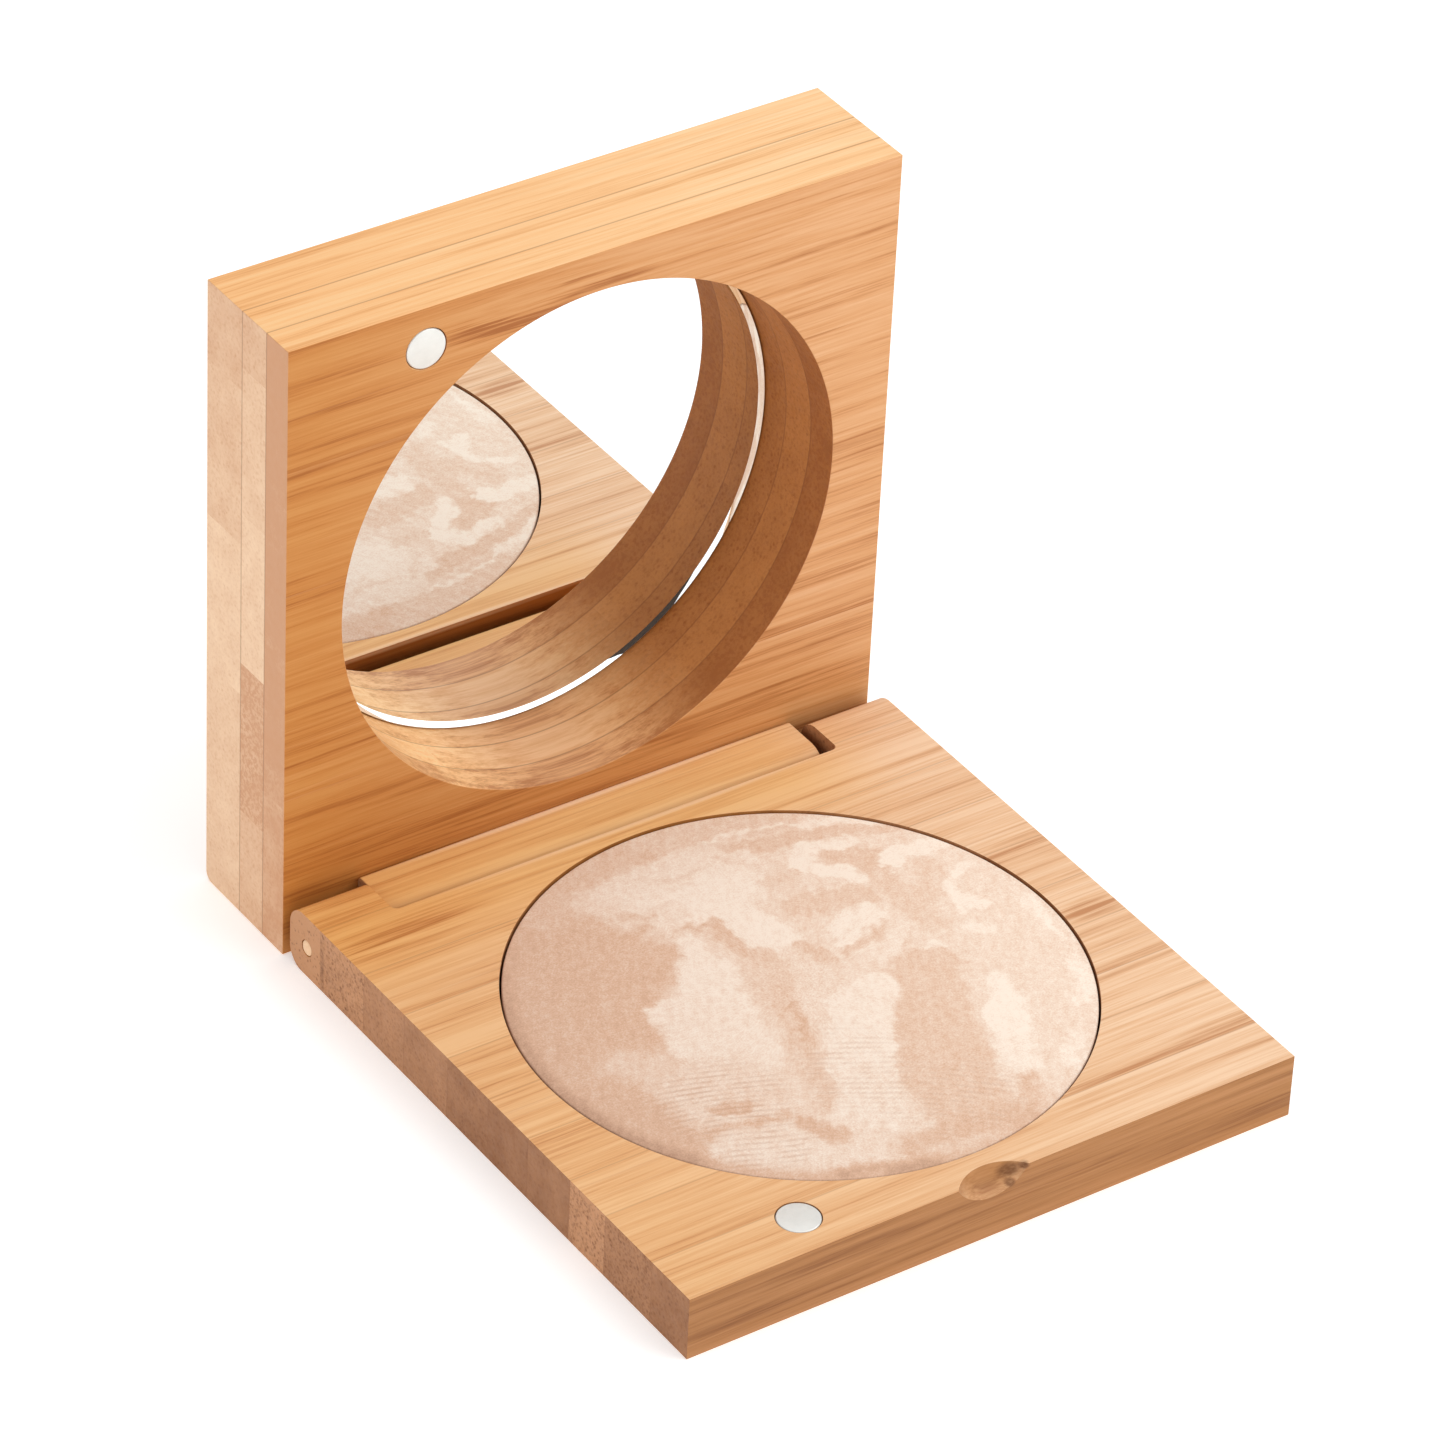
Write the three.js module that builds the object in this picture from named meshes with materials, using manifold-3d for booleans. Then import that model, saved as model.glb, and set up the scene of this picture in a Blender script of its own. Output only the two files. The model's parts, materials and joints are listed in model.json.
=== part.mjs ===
// A square bamboo powder compact, standing open at a right angle. Millimetres, +Z up.
//
// The base is one board of bamboo strips glued edge to edge. It holds the powder in a round well. The lid
// is twice as thick, three plies of strips, with a deep round recess and a mirror at its bottom. A tongue
// glued along the lid's lower edge sits in a notch between the base's two ears, and a short pin through
// each ear is the hinge. One pair of magnets holds the compact shut.
//
// The case frame has its corner at the base's front left bottom corner: x to the right along the hinge,
// y from the front edge towards the hinge, z up. The lid frame lies on the lid's outer face: x as before,
// y from the hinge edge to the opening edge, z from the outer face to the inner face.

import * as THREE from "three";
import { mergeVertices } from "three/addons/utils/BufferGeometryUtils.js";
import Module from "manifold-3d";

const wasm = await Module();
wasm.setup();

// ---- driving dimensions ------------------------------------------------------------------------------

const CASE_WIDTH = 80;
const BASE_DEPTH = 80.5; // front edge to the back of the ears
const BASE_THICKNESS = 8.2;
const LID_LENGTH = 80.8; // hinge edge to opening edge
const LID_THICKNESS = 16.8;
const LID_SIDE_PLAY = 0.3; // the lid has slid this far to the left on its pins

// hinge
const PIN_INSET = 3.6; // pin to the back of the ears
const PIN_HEIGHT = 3.9; // pin to the underside, and to the lid's hinge edge, so the open lid stands on it
const CLOSED_GAP = 0.4; // between the two inner faces of the shut compact
const PIN_RADIUS = 1;
const PIN_PRESS_CLEARANCE = 0.05; // in the ears
const PIN_RUNNING_CLEARANCE = 0.2; // in the tongue
const PIN_REACH = 9; // how far a pin goes into the tongue
const PIN_END_CLEARANCE = 0.5;
const NOTCH_LEFT = 9.1;
const NOTCH_RIGHT = 69.5;
const NOTCH_CORNER_RADIUS = 0.8;
const NOTCH_CLEARANCE = 3.75; // pin to the notch's front wall
const TONGUE_REACH = 3.5; // pin to the tongue's tip, and to its upper face
const TONGUE_LEFT_GAP = 0.4;
const TONGUE_RIGHT_GAP = 1.3;
const TONGUE_TIP_RADIUS = 3.2;
const TONGUE_HEEL_RADIUS = 2.6;
const TONGUE_ROOT_RADIUS = 0.8; // rounded edge where the tongue meets the lid
const EAR_TOP_RADIUS = 2.8;
const EAR_BOTTOM_RADIUS = 2.4;

// powder well
const ROUND_CENTRE_FROM_FRONT = 37.8; // the well's and the recess's centre, from the opening edges
const WELL_RADIUS = 33.4;
const WELL_FLOOR = 2.6; // bamboo left under the well
const POWDER_RADIUS = 33.05;
const POWDER_EDGE_DROP = 0.35; // the cake's shoulder, below the bamboo
const POWDER_CROWN = 0.25; // the cake's centre, above the bamboo
const PAN_RADIUS = 32.9;
const PAN_WALL = 0.4;
const PAN_RIM_DROP = 1; // pan rim below the bamboo
const GLUE_THICKNESS = 0.25;

// mirror recess
const RECESS_RADIUS = 32.7;
const RECESS_FLOOR = 1.7; // bamboo left behind the mirror
const MIRROR_RADIUS = 32.5;
const MIRROR_DEPTH = 13.4; // inner face of the lid to the glass
const SILVER_THICKNESS = 0.1;
const SILVER_RADIUS = 32.2;
const BEVEL_WIDTH = 1;
const BEVEL_DROP = 0.5;
const LID_BACK_EDGE_RADIUS = 1.2;

// magnets
const MAGNET_RADIUS = 2.5;
const MAGNET_THICKNESS = 2;
const MAGNET_POCKET_CLEARANCE = 0.1;
const MAGNET_FROM_LEFT = 17.5;
const MAGNET_FROM_FRONT = 5.3;

// thumb scoop: a ball cut through the front edge
const SCOOP_X = 39.3;
const SCOOP_RADIUS = 6.5;
const SCOOP_CENTRE_AHEAD = 3.65;
const SCOOP_CENTRE_ABOVE = 2.65;

// glue lines of the strips: from the front edge in the base, from the hinge edge in the lid's plies
const BASE_STRIP_EDGES = [0, 7.1, 16.1, 23, 31.3, 39.2, 47.5, 56.4, 64.8, 74, BASE_DEPTH];
const PLIES = [
  { name: "lid_back_strip", bottom: 0, top: 7.4, edges: [0, 10, 30.2, 50.4, 70.6, LID_LENGTH] },
  { name: "lid_core_strip", bottom: 7.4, top: 12.4, edges: [0, 14.4, 34.6, 54.6, 73.6, LID_LENGTH] },
  { name: "lid_front_strip", bottom: 12.4, top: LID_THICKNESS, edges: [0, 20.2, 40.4, 60.4, LID_LENGTH] },
];

// sides of the polygon that stands for a circle
const LARGE_ROUND = 96;
const SMALL_ROUND = 24;
const OVERSHOOT = 1; // a cutter's extra length past the face it opens

// ---- worked out --------------------------------------------------------------------------------------

const PIN_Y = BASE_DEPTH - PIN_INSET;
const LID_FACE_FROM_PIN = BASE_THICKNESS - PIN_HEIGHT + CLOSED_GAP;
const LID_BACK_Y = PIN_Y + LID_FACE_FROM_PIN + LID_THICKNESS;
const NOTCH_FRONT_Y = PIN_Y - NOTCH_CLEARANCE;
const RECESS_Y = LID_LENGTH - ROUND_CENTRE_FROM_FRONT;
const MIDDLE_X = CASE_WIDTH / 2;
const MIRROR_FACE_Z = LID_THICKNESS - MIRROR_DEPTH;

// ---- materials ---------------------------------------------------------------------------------------

const paint = (color, roughness, metalness) => new THREE.MeshStandardMaterial({ color, roughness, metalness });
const BAMBOO = paint(0xdea16b, 0.6, 0);
const BAMBOO_PALE = paint(0xe9be93, 0.6, 0);
const POWDER = paint(0xf0cdb2, 0.95, 0);
const TIN = paint(0xb9bcc0, 0.35, 1);
const MAGNET = paint(0xdfe1e3, 0.25, 1);
const GLASS = paint(0xeaf2f4, 0.03, 1);
const SILVER = paint(0xf2f4f5, 0.1, 1);
const GLUE = paint(0xd9d4c6, 0.7, 0);

// ---- solids ------------------------------------------------------------------------------------------

function solid(geometry) {
  const bare = geometry.clone();
  bare.deleteAttribute("normal");
  bare.deleteAttribute("uv");
  const merged = mergeVertices(bare, 1e-5);
  return new wasm.Manifold(new wasm.Mesh({
    numProp: 3,
    vertProperties: new Float32Array(merged.attributes.position.array),
    triVerts: new Uint32Array(merged.index.array),
  }));
}

function mesh(shape, name, material) {
  const { vertProperties, triVerts } = shape.getMesh();
  const geometry = new THREE.BufferGeometry();
  geometry.setAttribute("position", new THREE.BufferAttribute(new Float32Array(vertProperties), 3));
  geometry.setIndex(new THREE.BufferAttribute(new Uint32Array(triVerts), 1));
  geometry.computeVertexNormals();
  const made = new THREE.Mesh(geometry, material);
  made.name = name;
  return made;
}

function block([x0, x1], [y0, y1], [z0, z1]) {
  const geometry = new THREE.BoxGeometry(x1 - x0, y1 - y0, z1 - z0);
  geometry.translate((x0 + x1) / 2, (y0 + y1) / 2, (z0 + z1) / 2);
  return solid(geometry);
}

function uprightRod(x, y, [z0, z1], radius, sides) {
  const geometry = new THREE.CylinderGeometry(radius, radius, z1 - z0, sides);
  geometry.rotateX(Math.PI / 2);
  geometry.translate(x, y, (z0 + z1) / 2);
  return solid(geometry);
}

function crossRod([x0, x1], y, z, radius, sides) {
  const geometry = new THREE.CylinderGeometry(radius, radius, x1 - x0, sides);
  geometry.rotateZ(Math.PI / 2);
  geometry.translate((x0 + x1) / 2, y, z);
  return solid(geometry);
}

// A rectangle in the y-z plane with its four corners rounded as given, drawn along x.
// The radii go round from the low y, low z corner: low-low, high-low, high-high, low-high.
function roundedBar([x0, x1], [y0, y1], [z0, z1], radii) {
  const corners = [
    { y: y0, z: z0, inY: 1, inZ: 1, from: Math.PI },
    { y: y1, z: z0, inY: -1, inZ: 1, from: Math.PI * 1.5 },
    { y: y1, z: z1, inY: -1, inZ: -1, from: 0 },
    { y: y0, z: z1, inY: 1, inZ: -1, from: Math.PI * 0.5 },
  ];
  const outline = new THREE.Shape();
  corners.forEach(({ y, z, inY, inZ, from }, index) => {
    const radius = radii[index];
    if (radius === 0) {
      index === 0 ? outline.moveTo(y, z) : outline.lineTo(y, z);
      return;
    }
    const centreY = y + inY * radius;
    const centreZ = z + inZ * radius;
    const startY = centreY + radius * Math.cos(from);
    const startZ = centreZ + radius * Math.sin(from);
    index === 0 ? outline.moveTo(startY, startZ) : outline.lineTo(startY, startZ);
    outline.absarc(centreY, centreZ, radius, from, from + Math.PI / 2, false);
  });
  outline.closePath();
  const geometry = new THREE.ExtrudeGeometry(outline, { depth: x1 - x0, bevelEnabled: false, curveSegments: 8 });
  const alongX = new THREE.Matrix4().makeBasis(
    new THREE.Vector3(0, 1, 0),
    new THREE.Vector3(0, 0, 1),
    new THREE.Vector3(1, 0, 0),
  );
  geometry.applyMatrix4(alongX);
  geometry.translate(x0, 0, 0);
  return solid(geometry);
}

// A turned piece about a vertical axis, from a profile of [radius, height] points that starts and ends on
// the axis.
function turned(profile, x, y, name, material) {
  const points = profile.map(([radius, height]) => new THREE.Vector2(radius, height));
  const geometry = new THREE.LatheGeometry(points, LARGE_ROUND);
  geometry.rotateX(Math.PI / 2);
  const made = new THREE.Mesh(geometry, material);
  made.position.set(x, y, 0);
  made.name = name;
  return made;
}

// Saws a board along its glue lines. A strip that the board's holes part in two gives a left and a right
// piece.
function saw(board, edges, [z0, z1], nameOf) {
  const pieces = [];
  for (let strip = 0; strip + 1 < edges.length; strip += 1) {
    const kerf = block([-OVERSHOOT, CASE_WIDTH + OVERSHOOT], [edges[strip], edges[strip + 1]], [z0, z1]);
    const bodies = board.intersect(kerf).decompose();
    bodies.sort((a, b) => a.boundingBox().min[0] - b.boundingBox().min[0]);
    bodies.forEach((body, side) => {
      const suffix = bodies.length === 1 ? "" : ["_left", "_right"][side];
      pieces.push(mesh(body, nameOf(strip + 1) + suffix, strip % 2 ? BAMBOO : BAMBOO_PALE));
    });
  }
  return pieces;
}

// ---- base --------------------------------------------------------------------------------------------

function tongueNotch() {
  const across = [NOTCH_LEFT, NOTCH_RIGHT];
  const through = [-OVERSHOOT, BASE_THICKNESS + OVERSHOOT];
  const past = BASE_DEPTH + OVERSHOOT;
  const inner = [NOTCH_LEFT + NOTCH_CORNER_RADIUS, NOTCH_RIGHT - NOTCH_CORNER_RADIUS];
  const cornerY = NOTCH_FRONT_Y + NOTCH_CORNER_RADIUS;
  let cutter = block(across, [cornerY, past], through).add(block(inner, [NOTCH_FRONT_Y, past], through));
  for (const x of inner) {
    cutter = cutter.add(uprightRod(x, cornerY, through, NOTCH_CORNER_RADIUS, SMALL_ROUND));
  }
  return cutter;
}

function thumbScoop() {
  const geometry = new THREE.SphereGeometry(SCOOP_RADIUS, 48, 32);
  geometry.translate(SCOOP_X, -SCOOP_CENTRE_AHEAD, BASE_THICKNESS + SCOOP_CENTRE_ABOVE);
  return solid(geometry);
}

function magnetPocket(x, y, faceZ) {
  const depth = [faceZ - MAGNET_THICKNESS, faceZ + OVERSHOOT];
  return uprightRod(x, y, depth, MAGNET_RADIUS + MAGNET_POCKET_CLEARANCE, SMALL_ROUND);
}

function magnet(x, y, faceZ, name) {
  const depth = [faceZ - MAGNET_THICKNESS, faceZ];
  return mesh(uprightRod(x, y, depth, MAGNET_RADIUS, SMALL_ROUND), name, MAGNET);
}

function baseBoard() {
  const across = [0, CASE_WIDTH];
  const backCorners = [0, EAR_BOTTOM_RADIUS, EAR_TOP_RADIUS, 0];
  const well = uprightRod(MIDDLE_X, ROUND_CENTRE_FROM_FRONT, [WELL_FLOOR, BASE_THICKNESS + OVERSHOOT],
    WELL_RADIUS, LARGE_ROUND);
  const pinBore = crossRod([-OVERSHOOT, CASE_WIDTH + OVERSHOOT], PIN_Y, PIN_HEIGHT,
    PIN_RADIUS + PIN_PRESS_CLEARANCE, SMALL_ROUND);
  return roundedBar(across, [0, BASE_DEPTH], [0, BASE_THICKNESS], backCorners)
    .subtract(tongueNotch())
    .subtract(well)
    .subtract(thumbScoop())
    .subtract(magnetPocket(MAGNET_FROM_LEFT, MAGNET_FROM_FRONT, BASE_THICKNESS))
    .subtract(pinBore);
}

function baseStripName(strip) {
  return strip === BASE_STRIP_EDGES.length - 1 ? "base_ear" : `base_strip_${strip}`;
}

function powderPan() {
  const bottom = WELL_FLOOR + GLUE_THICKNESS;
  const rim = BASE_THICKNESS - PAN_RIM_DROP;
  const profile = [
    [0, bottom],
    [PAN_RADIUS, bottom],
    [PAN_RADIUS, rim],
    [PAN_RADIUS - PAN_WALL, rim],
    [PAN_RADIUS - PAN_WALL, bottom + PAN_WALL],
    [0, bottom + PAN_WALL],
  ];
  return turned(profile, MIDDLE_X, ROUND_CENTRE_FROM_FRONT, "powder_pan", TIN);
}

// The cake fills the pan, laps over its rim and has a shallow crown.
function powderCake() {
  const bottom = WELL_FLOOR + GLUE_THICKNESS + PAN_WALL;
  const inPan = PAN_RADIUS - PAN_WALL;
  const rim = BASE_THICKNESS - PAN_RIM_DROP;
  const shoulder = BASE_THICKNESS - POWDER_EDGE_DROP;
  const crown = BASE_THICKNESS + POWDER_CROWN;
  const profile = [[0, bottom], [inPan, bottom], [inPan, rim], [POWDER_RADIUS, rim], [POWDER_RADIUS, shoulder]];
  const steps = 6;
  for (let step = 1; step <= steps; step += 1) {
    const inward = step / steps;
    const radius = POWDER_RADIUS * (1 - inward);
    profile.push([radius, shoulder + (crown - shoulder) * (1 - (1 - inward) ** 4)]);
  }
  return turned(profile, MIDDLE_X, ROUND_CENTRE_FROM_FRONT, "powder_cake", POWDER);
}

function glueDisc(y, floor, radius, name) {
  return mesh(uprightRod(MIDDLE_X, y, [floor, floor + GLUE_THICKNESS], radius, LARGE_ROUND), name, GLUE);
}

function hingePins() {
  const spans = {
    hinge_pin_left: [0, NOTCH_LEFT + PIN_REACH],
    hinge_pin_right: [NOTCH_RIGHT - PIN_REACH, CASE_WIDTH],
  };
  return Object.entries(spans).map(([name, span]) =>
    mesh(crossRod(span, PIN_Y, PIN_HEIGHT, PIN_RADIUS, SMALL_ROUND), name, BAMBOO_PALE));
}

function base() {
  const group = new THREE.Group();
  group.add(...saw(baseBoard(), BASE_STRIP_EDGES, [0, BASE_THICKNESS], baseStripName));
  group.add(glueDisc(ROUND_CENTRE_FROM_FRONT, WELL_FLOOR, PAN_RADIUS - 3, "powder_pan_glue"));
  group.add(powderPan());
  group.add(powderCake());
  group.add(magnet(MAGNET_FROM_LEFT, MAGNET_FROM_FRONT, BASE_THICKNESS, "base_magnet"));
  group.add(...hingePins());
  return group;
}

// ---- lid, in the lid frame ---------------------------------------------------------------------------

const LID_MAGNET_Y = LID_LENGTH - MAGNET_FROM_FRONT;

function lidBoard() {
  const recess = uprightRod(MIDDLE_X, RECESS_Y, [RECESS_FLOOR, LID_THICKNESS + OVERSHOOT], RECESS_RADIUS,
    LARGE_ROUND);
  return roundedBar([0, CASE_WIDTH], [0, LID_LENGTH], [0, LID_THICKNESS], [LID_BACK_EDGE_RADIUS, 0, 0, 0])
    .subtract(recess)
    .subtract(magnetPocket(MAGNET_FROM_LEFT, LID_MAGNET_Y, LID_THICKNESS));
}

function mirrorGlass() {
  const back = RECESS_FLOOR + GLUE_THICKNESS + SILVER_THICKNESS;
  const profile = [
    [0, back],
    [MIRROR_RADIUS, back],
    [MIRROR_RADIUS, MIRROR_FACE_Z - BEVEL_DROP],
    [MIRROR_RADIUS - BEVEL_WIDTH, MIRROR_FACE_Z],
    [0, MIRROR_FACE_Z],
  ];
  return turned(profile, MIDDLE_X, RECESS_Y, "mirror_glass", GLASS);
}

function mirrorSilver() {
  const back = RECESS_FLOOR + GLUE_THICKNESS;
  const film = uprightRod(MIDDLE_X, RECESS_Y, [back, back + SILVER_THICKNESS], SILVER_RADIUS, LARGE_ROUND);
  return mesh(film, "mirror_silver_backing", SILVER);
}

// The tongue stands out from the lid's inner face along the hinge edge. Its tip and heel are rounded to
// turn in the notch.
function hingeTongue() {
  const left = NOTCH_LEFT + TONGUE_LEFT_GAP + LID_SIDE_PLAY;
  const right = NOTCH_RIGHT - TONGUE_RIGHT_GAP + LID_SIDE_PLAY;
  const pinZ = LID_THICKNESS + LID_FACE_FROM_PIN;
  const tip = pinZ + TONGUE_REACH;
  const upper = PIN_HEIGHT + TONGUE_REACH;
  const radii = [0, TONGUE_ROOT_RADIUS, TONGUE_TIP_RADIUS, TONGUE_HEEL_RADIUS];
  const depth = PIN_REACH + PIN_END_CLEARANCE;
  const boreRadius = PIN_RADIUS + PIN_RUNNING_CLEARANCE;
  const bar = roundedBar([left, right], [0, upper], [LID_THICKNESS, tip], radii)
    .subtract(crossRod([left - OVERSHOOT, NOTCH_LEFT + LID_SIDE_PLAY + depth], PIN_HEIGHT, pinZ, boreRadius,
      SMALL_ROUND))
    .subtract(crossRod([NOTCH_RIGHT + LID_SIDE_PLAY - depth, right + OVERSHOOT], PIN_HEIGHT, pinZ, boreRadius,
      SMALL_ROUND));
  return mesh(bar, "hinge_tongue", BAMBOO);
}

function lid() {
  const group = new THREE.Group();
  const board = lidBoard();
  for (const { name, bottom, top, edges } of PLIES) {
    group.add(...saw(board, edges, [bottom, top], (strip) => `${name}_${strip}`));
  }
  group.add(glueDisc(RECESS_Y, RECESS_FLOOR, MIRROR_RADIUS - 3, "mirror_glue"));
  group.add(mirrorSilver());
  group.add(mirrorGlass());
  group.add(magnet(MAGNET_FROM_LEFT, LID_MAGNET_Y, LID_THICKNESS, "lid_magnet"));
  group.add(hingeTongue());
  // stood up: the lid frame's y points up and its z points to the front
  group.rotation.x = Math.PI / 2;
  group.position.set(-LID_SIDE_PLAY, LID_BACK_Y, 0);
  return group;
}

// ---- the compact, with its origin on the ground under the middle of its box -------------------------

const compact = new THREE.Group();
compact.add(base(), lid());
compact.position.set(-(CASE_WIDTH - LID_SIDE_PLAY) / 2, -LID_BACK_Y / 2, 0);

export default compact;
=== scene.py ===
"""A bamboo powder compact, standing open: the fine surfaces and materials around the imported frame.

Everything is in metres in the frame's own axes: x along the hinge, y towards the lid, z up. Each piece of
bamboo is sawn from one finely shaped board, so that the glued strips meet without a step, and each piece
replaces the CAD node that it is named after.
"""

import json
import math

import bmesh
import bpy
import numpy
from mathutils import Matrix, Vector, noise


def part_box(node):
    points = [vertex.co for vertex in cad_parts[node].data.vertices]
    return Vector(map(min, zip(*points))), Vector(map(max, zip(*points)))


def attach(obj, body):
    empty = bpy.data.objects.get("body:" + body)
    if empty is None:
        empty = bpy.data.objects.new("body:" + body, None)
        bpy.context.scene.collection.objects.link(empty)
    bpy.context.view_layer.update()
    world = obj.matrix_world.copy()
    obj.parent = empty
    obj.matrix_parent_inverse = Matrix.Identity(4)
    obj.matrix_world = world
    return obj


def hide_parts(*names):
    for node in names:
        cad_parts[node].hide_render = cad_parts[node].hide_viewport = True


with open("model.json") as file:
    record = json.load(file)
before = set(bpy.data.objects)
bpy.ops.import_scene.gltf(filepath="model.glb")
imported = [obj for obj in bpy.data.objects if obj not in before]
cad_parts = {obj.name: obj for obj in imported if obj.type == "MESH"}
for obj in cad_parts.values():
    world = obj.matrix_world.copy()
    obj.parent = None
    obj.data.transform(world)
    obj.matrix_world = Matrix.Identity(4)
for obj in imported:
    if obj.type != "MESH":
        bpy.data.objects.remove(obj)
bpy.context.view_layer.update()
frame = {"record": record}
BODIES = frame["record"]["behaviour"]["bodies"]

MM = 0.001
X, Y, Z = 0, 1, 2

# ---- sizes that the frame's boxes don't say ----

WELL_RADIUS = 33.35 * MM
WELL_FLOOR = 2.6 * MM
RECESS_RADIUS = 32.7 * MM
RECESS_FLOOR = 1.7 * MM
POCKET_CLEARANCE = 0.1 * MM
EAR_TOP_RADIUS = 2.8 * MM
EAR_BOTTOM_RADIUS = 2.4 * MM
LID_BACK_EDGE_RADIUS = 1.2 * MM
NOTCH_CORNER_RADIUS = 0.8 * MM
NOTCH_CLEARANCE = 3.75 * MM  # pin to the notch's front wall
PIN_BORE_CLEARANCE = 0.05 * MM
TONGUE_BORE_CLEARANCE = 0.2 * MM
TONGUE_BORE_DEPTH = 9.5 * MM
TONGUE_TIP_RADIUS = 3.2 * MM
TONGUE_HEEL_RADIUS = 2.6 * MM
TONGUE_ROOT_RADIUS = 0.8 * MM
PAN_WALL = 0.4 * MM
SCOOP_RADIUS = 6.5 * MM
SCOOP_FROM_LEFT = 39.3 * MM
SCOOP_AHEAD = 3.65 * MM
SCOOP_ABOVE = 2.65 * MM

SOFT_EDGE = 0.22 * MM  # sanded edges of the boards
SOFTENED_ANGLE = 32  # degrees: a flatter edge isn't softened
SAW_MARGIN = 2 * MM
ROUND_STEPS = 256
SMALL_ROUND_STEPS = 96


# ---- places from the frame ----


def joined_box(nodes):
    lows, highs = zip(*(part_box(node) for node in nodes))
    low = Vector(min(corner[axis] for corner in lows) for axis in (X, Y, Z))
    high = Vector(max(corner[axis] for corner in highs) for axis in (X, Y, Z))
    return low, high


def middle(node):
    low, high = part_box(node)
    return (low + high) / 2


BASE_STRIPS = [node for node in BODIES["base"] if node.startswith(("base_strip", "base_ear"))]
LID_STRIPS = [node for node in BODIES["lid"] if "_strip_" in node]
BASE_LOW, BASE_HIGH = joined_box(BASE_STRIPS)
LID_LOW, LID_HIGH = joined_box(LID_STRIPS)
CAKE = middle("powder_cake")
GLASS = middle("mirror_glass")
PIN = middle("hinge_pin_left")
TONGUE_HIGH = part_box("hinge_tongue")[1]
PIN_RADIUS = (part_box("hinge_pin_left")[1].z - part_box("hinge_pin_left")[0].z) / 2
NOTCH_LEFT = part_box("base_ear_left")[1].x
NOTCH_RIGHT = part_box("base_ear_right")[0].x


# ---- meshes ----


def new_object(name, vertices, faces):
    mesh = bpy.data.meshes.new(name)
    mesh.from_pydata([tuple(v) for v in vertices], [], faces)
    mesh.validate()
    piece = bpy.data.objects.new(name, mesh)
    bpy.context.scene.collection.objects.link(piece)
    face_outwards(piece)
    return piece


def face_outwards(piece):
    shape = bmesh.new()
    shape.from_mesh(piece.data)
    bmesh.ops.recalc_face_normals(shape, faces=shape.faces)
    shape.to_mesh(piece.data)
    shape.free()


def extruded(name, outline, axis, start, end):
    """A closed bar: the outline's points lie across the axis, as (y, z) along X or (x, y) along Z."""

    def place(point, along):
        return (along, point[0], point[1]) if axis == X else (point[0], point[1], along)

    count = len(outline)
    vertices = [place(point, start) for point in outline] + [place(point, end) for point in outline]
    faces = [[i, (i + 1) % count, (i + 1) % count + count, i + count] for i in range(count)]
    faces.append(list(range(count)))
    faces.append(list(range(count, 2 * count)))
    return new_object(name, vertices, faces)


def rounded_outline(low, high, radii, steps=16):
    """A rectangle's outline, with the radii given for its corners low-low, high-low, high-high, low-high."""
    corners = [
        (low[0], low[1], 1, 1, math.pi),
        (high[0], low[1], -1, 1, 1.5 * math.pi),
        (high[0], high[1], -1, -1, 0),
        (low[0], high[1], 1, -1, 0.5 * math.pi),
    ]
    outline = []
    for (across, up, in_across, in_up, turn), radius in zip(corners, radii, strict=True):
        if radius == 0:
            outline.append((across, up))
            continue
        for step in range(steps + 1):
            angle = turn + 0.5 * math.pi * step / steps
            outline.append((
                across + in_across * radius + radius * math.cos(angle),
                up + in_up * radius + radius * math.sin(angle),
            ))
    return outline


def ring_faces(rings, steps):
    """The faces between neighbouring rings of vertex numbers. A ring of one vertex closes an end."""
    faces = []
    for inner, outer in zip(rings, rings[1:]):
        for step in range(steps):
            after = (step + 1) % steps
            corners = [inner[step % len(inner)], inner[after % len(inner)]]
            corners += [outer[after % len(outer)], outer[step % len(outer)]]
            faces.append(list(dict.fromkeys(corners)))
    return faces


def quarter_turn(steps=4):
    """Angles from 0 to a right angle."""
    return [math.pi / 2 * step / steps for step in range(steps + 1)]


def lathe(name, profile, centre, axis=Z, steps=ROUND_STEPS):
    """A closed turned piece. The profile's (radius, along) points start and end on the axis; along is an
    absolute place on it."""
    vertices = []
    rings = []
    for radius, along in profile:
        first = len(vertices)
        count = 1 if radius == 0 else steps
        for step in range(count):
            angle = 2 * math.pi * step / steps
            point = Vector(centre)
            point[axis] = along
            point[(axis + 1) % 3] += radius * math.cos(angle)
            point[(axis + 2) % 3] += radius * math.sin(angle)
            vertices.append(point)
        rings.append(range(first, first + count))
    return new_object(name, vertices, ring_faces(rings, steps))


def rod(name, centre, radius, start, end, axis=Z, steps=SMALL_ROUND_STEPS):
    return lathe(name, [(0, start), (radius, start), (radius, end), (0, end)], centre, axis, steps)


def ball(name, centre, radius, steps=96):
    profile = []
    for step in range(steps // 2 + 1):
        angle = math.pi * step / (steps // 2)
        distance = 0 if step in (0, steps // 2) else radius * math.sin(angle)
        profile.append((distance, centre[Z] - radius * math.cos(angle)))
    return lathe(name, profile, centre, Z, steps)


def block(name, low, high):
    outline = [(low[X], low[Y]), (high[X], low[Y]), (high[X], high[Y]), (low[X], high[Y])]
    return extruded(name, outline, Z, low[Z], high[Z])


def discard(piece):
    mesh = piece.data
    bpy.data.objects.remove(piece)
    bpy.data.meshes.remove(mesh)


def apply_modifiers(piece):
    """Puts the modifiers' result in the piece's own mesh."""
    depsgraph = bpy.context.evaluated_depsgraph_get()
    old = piece.data
    piece.data = bpy.data.meshes.new_from_object(piece.evaluated_get(depsgraph))
    piece.modifiers.clear()
    bpy.data.meshes.remove(old)


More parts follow.
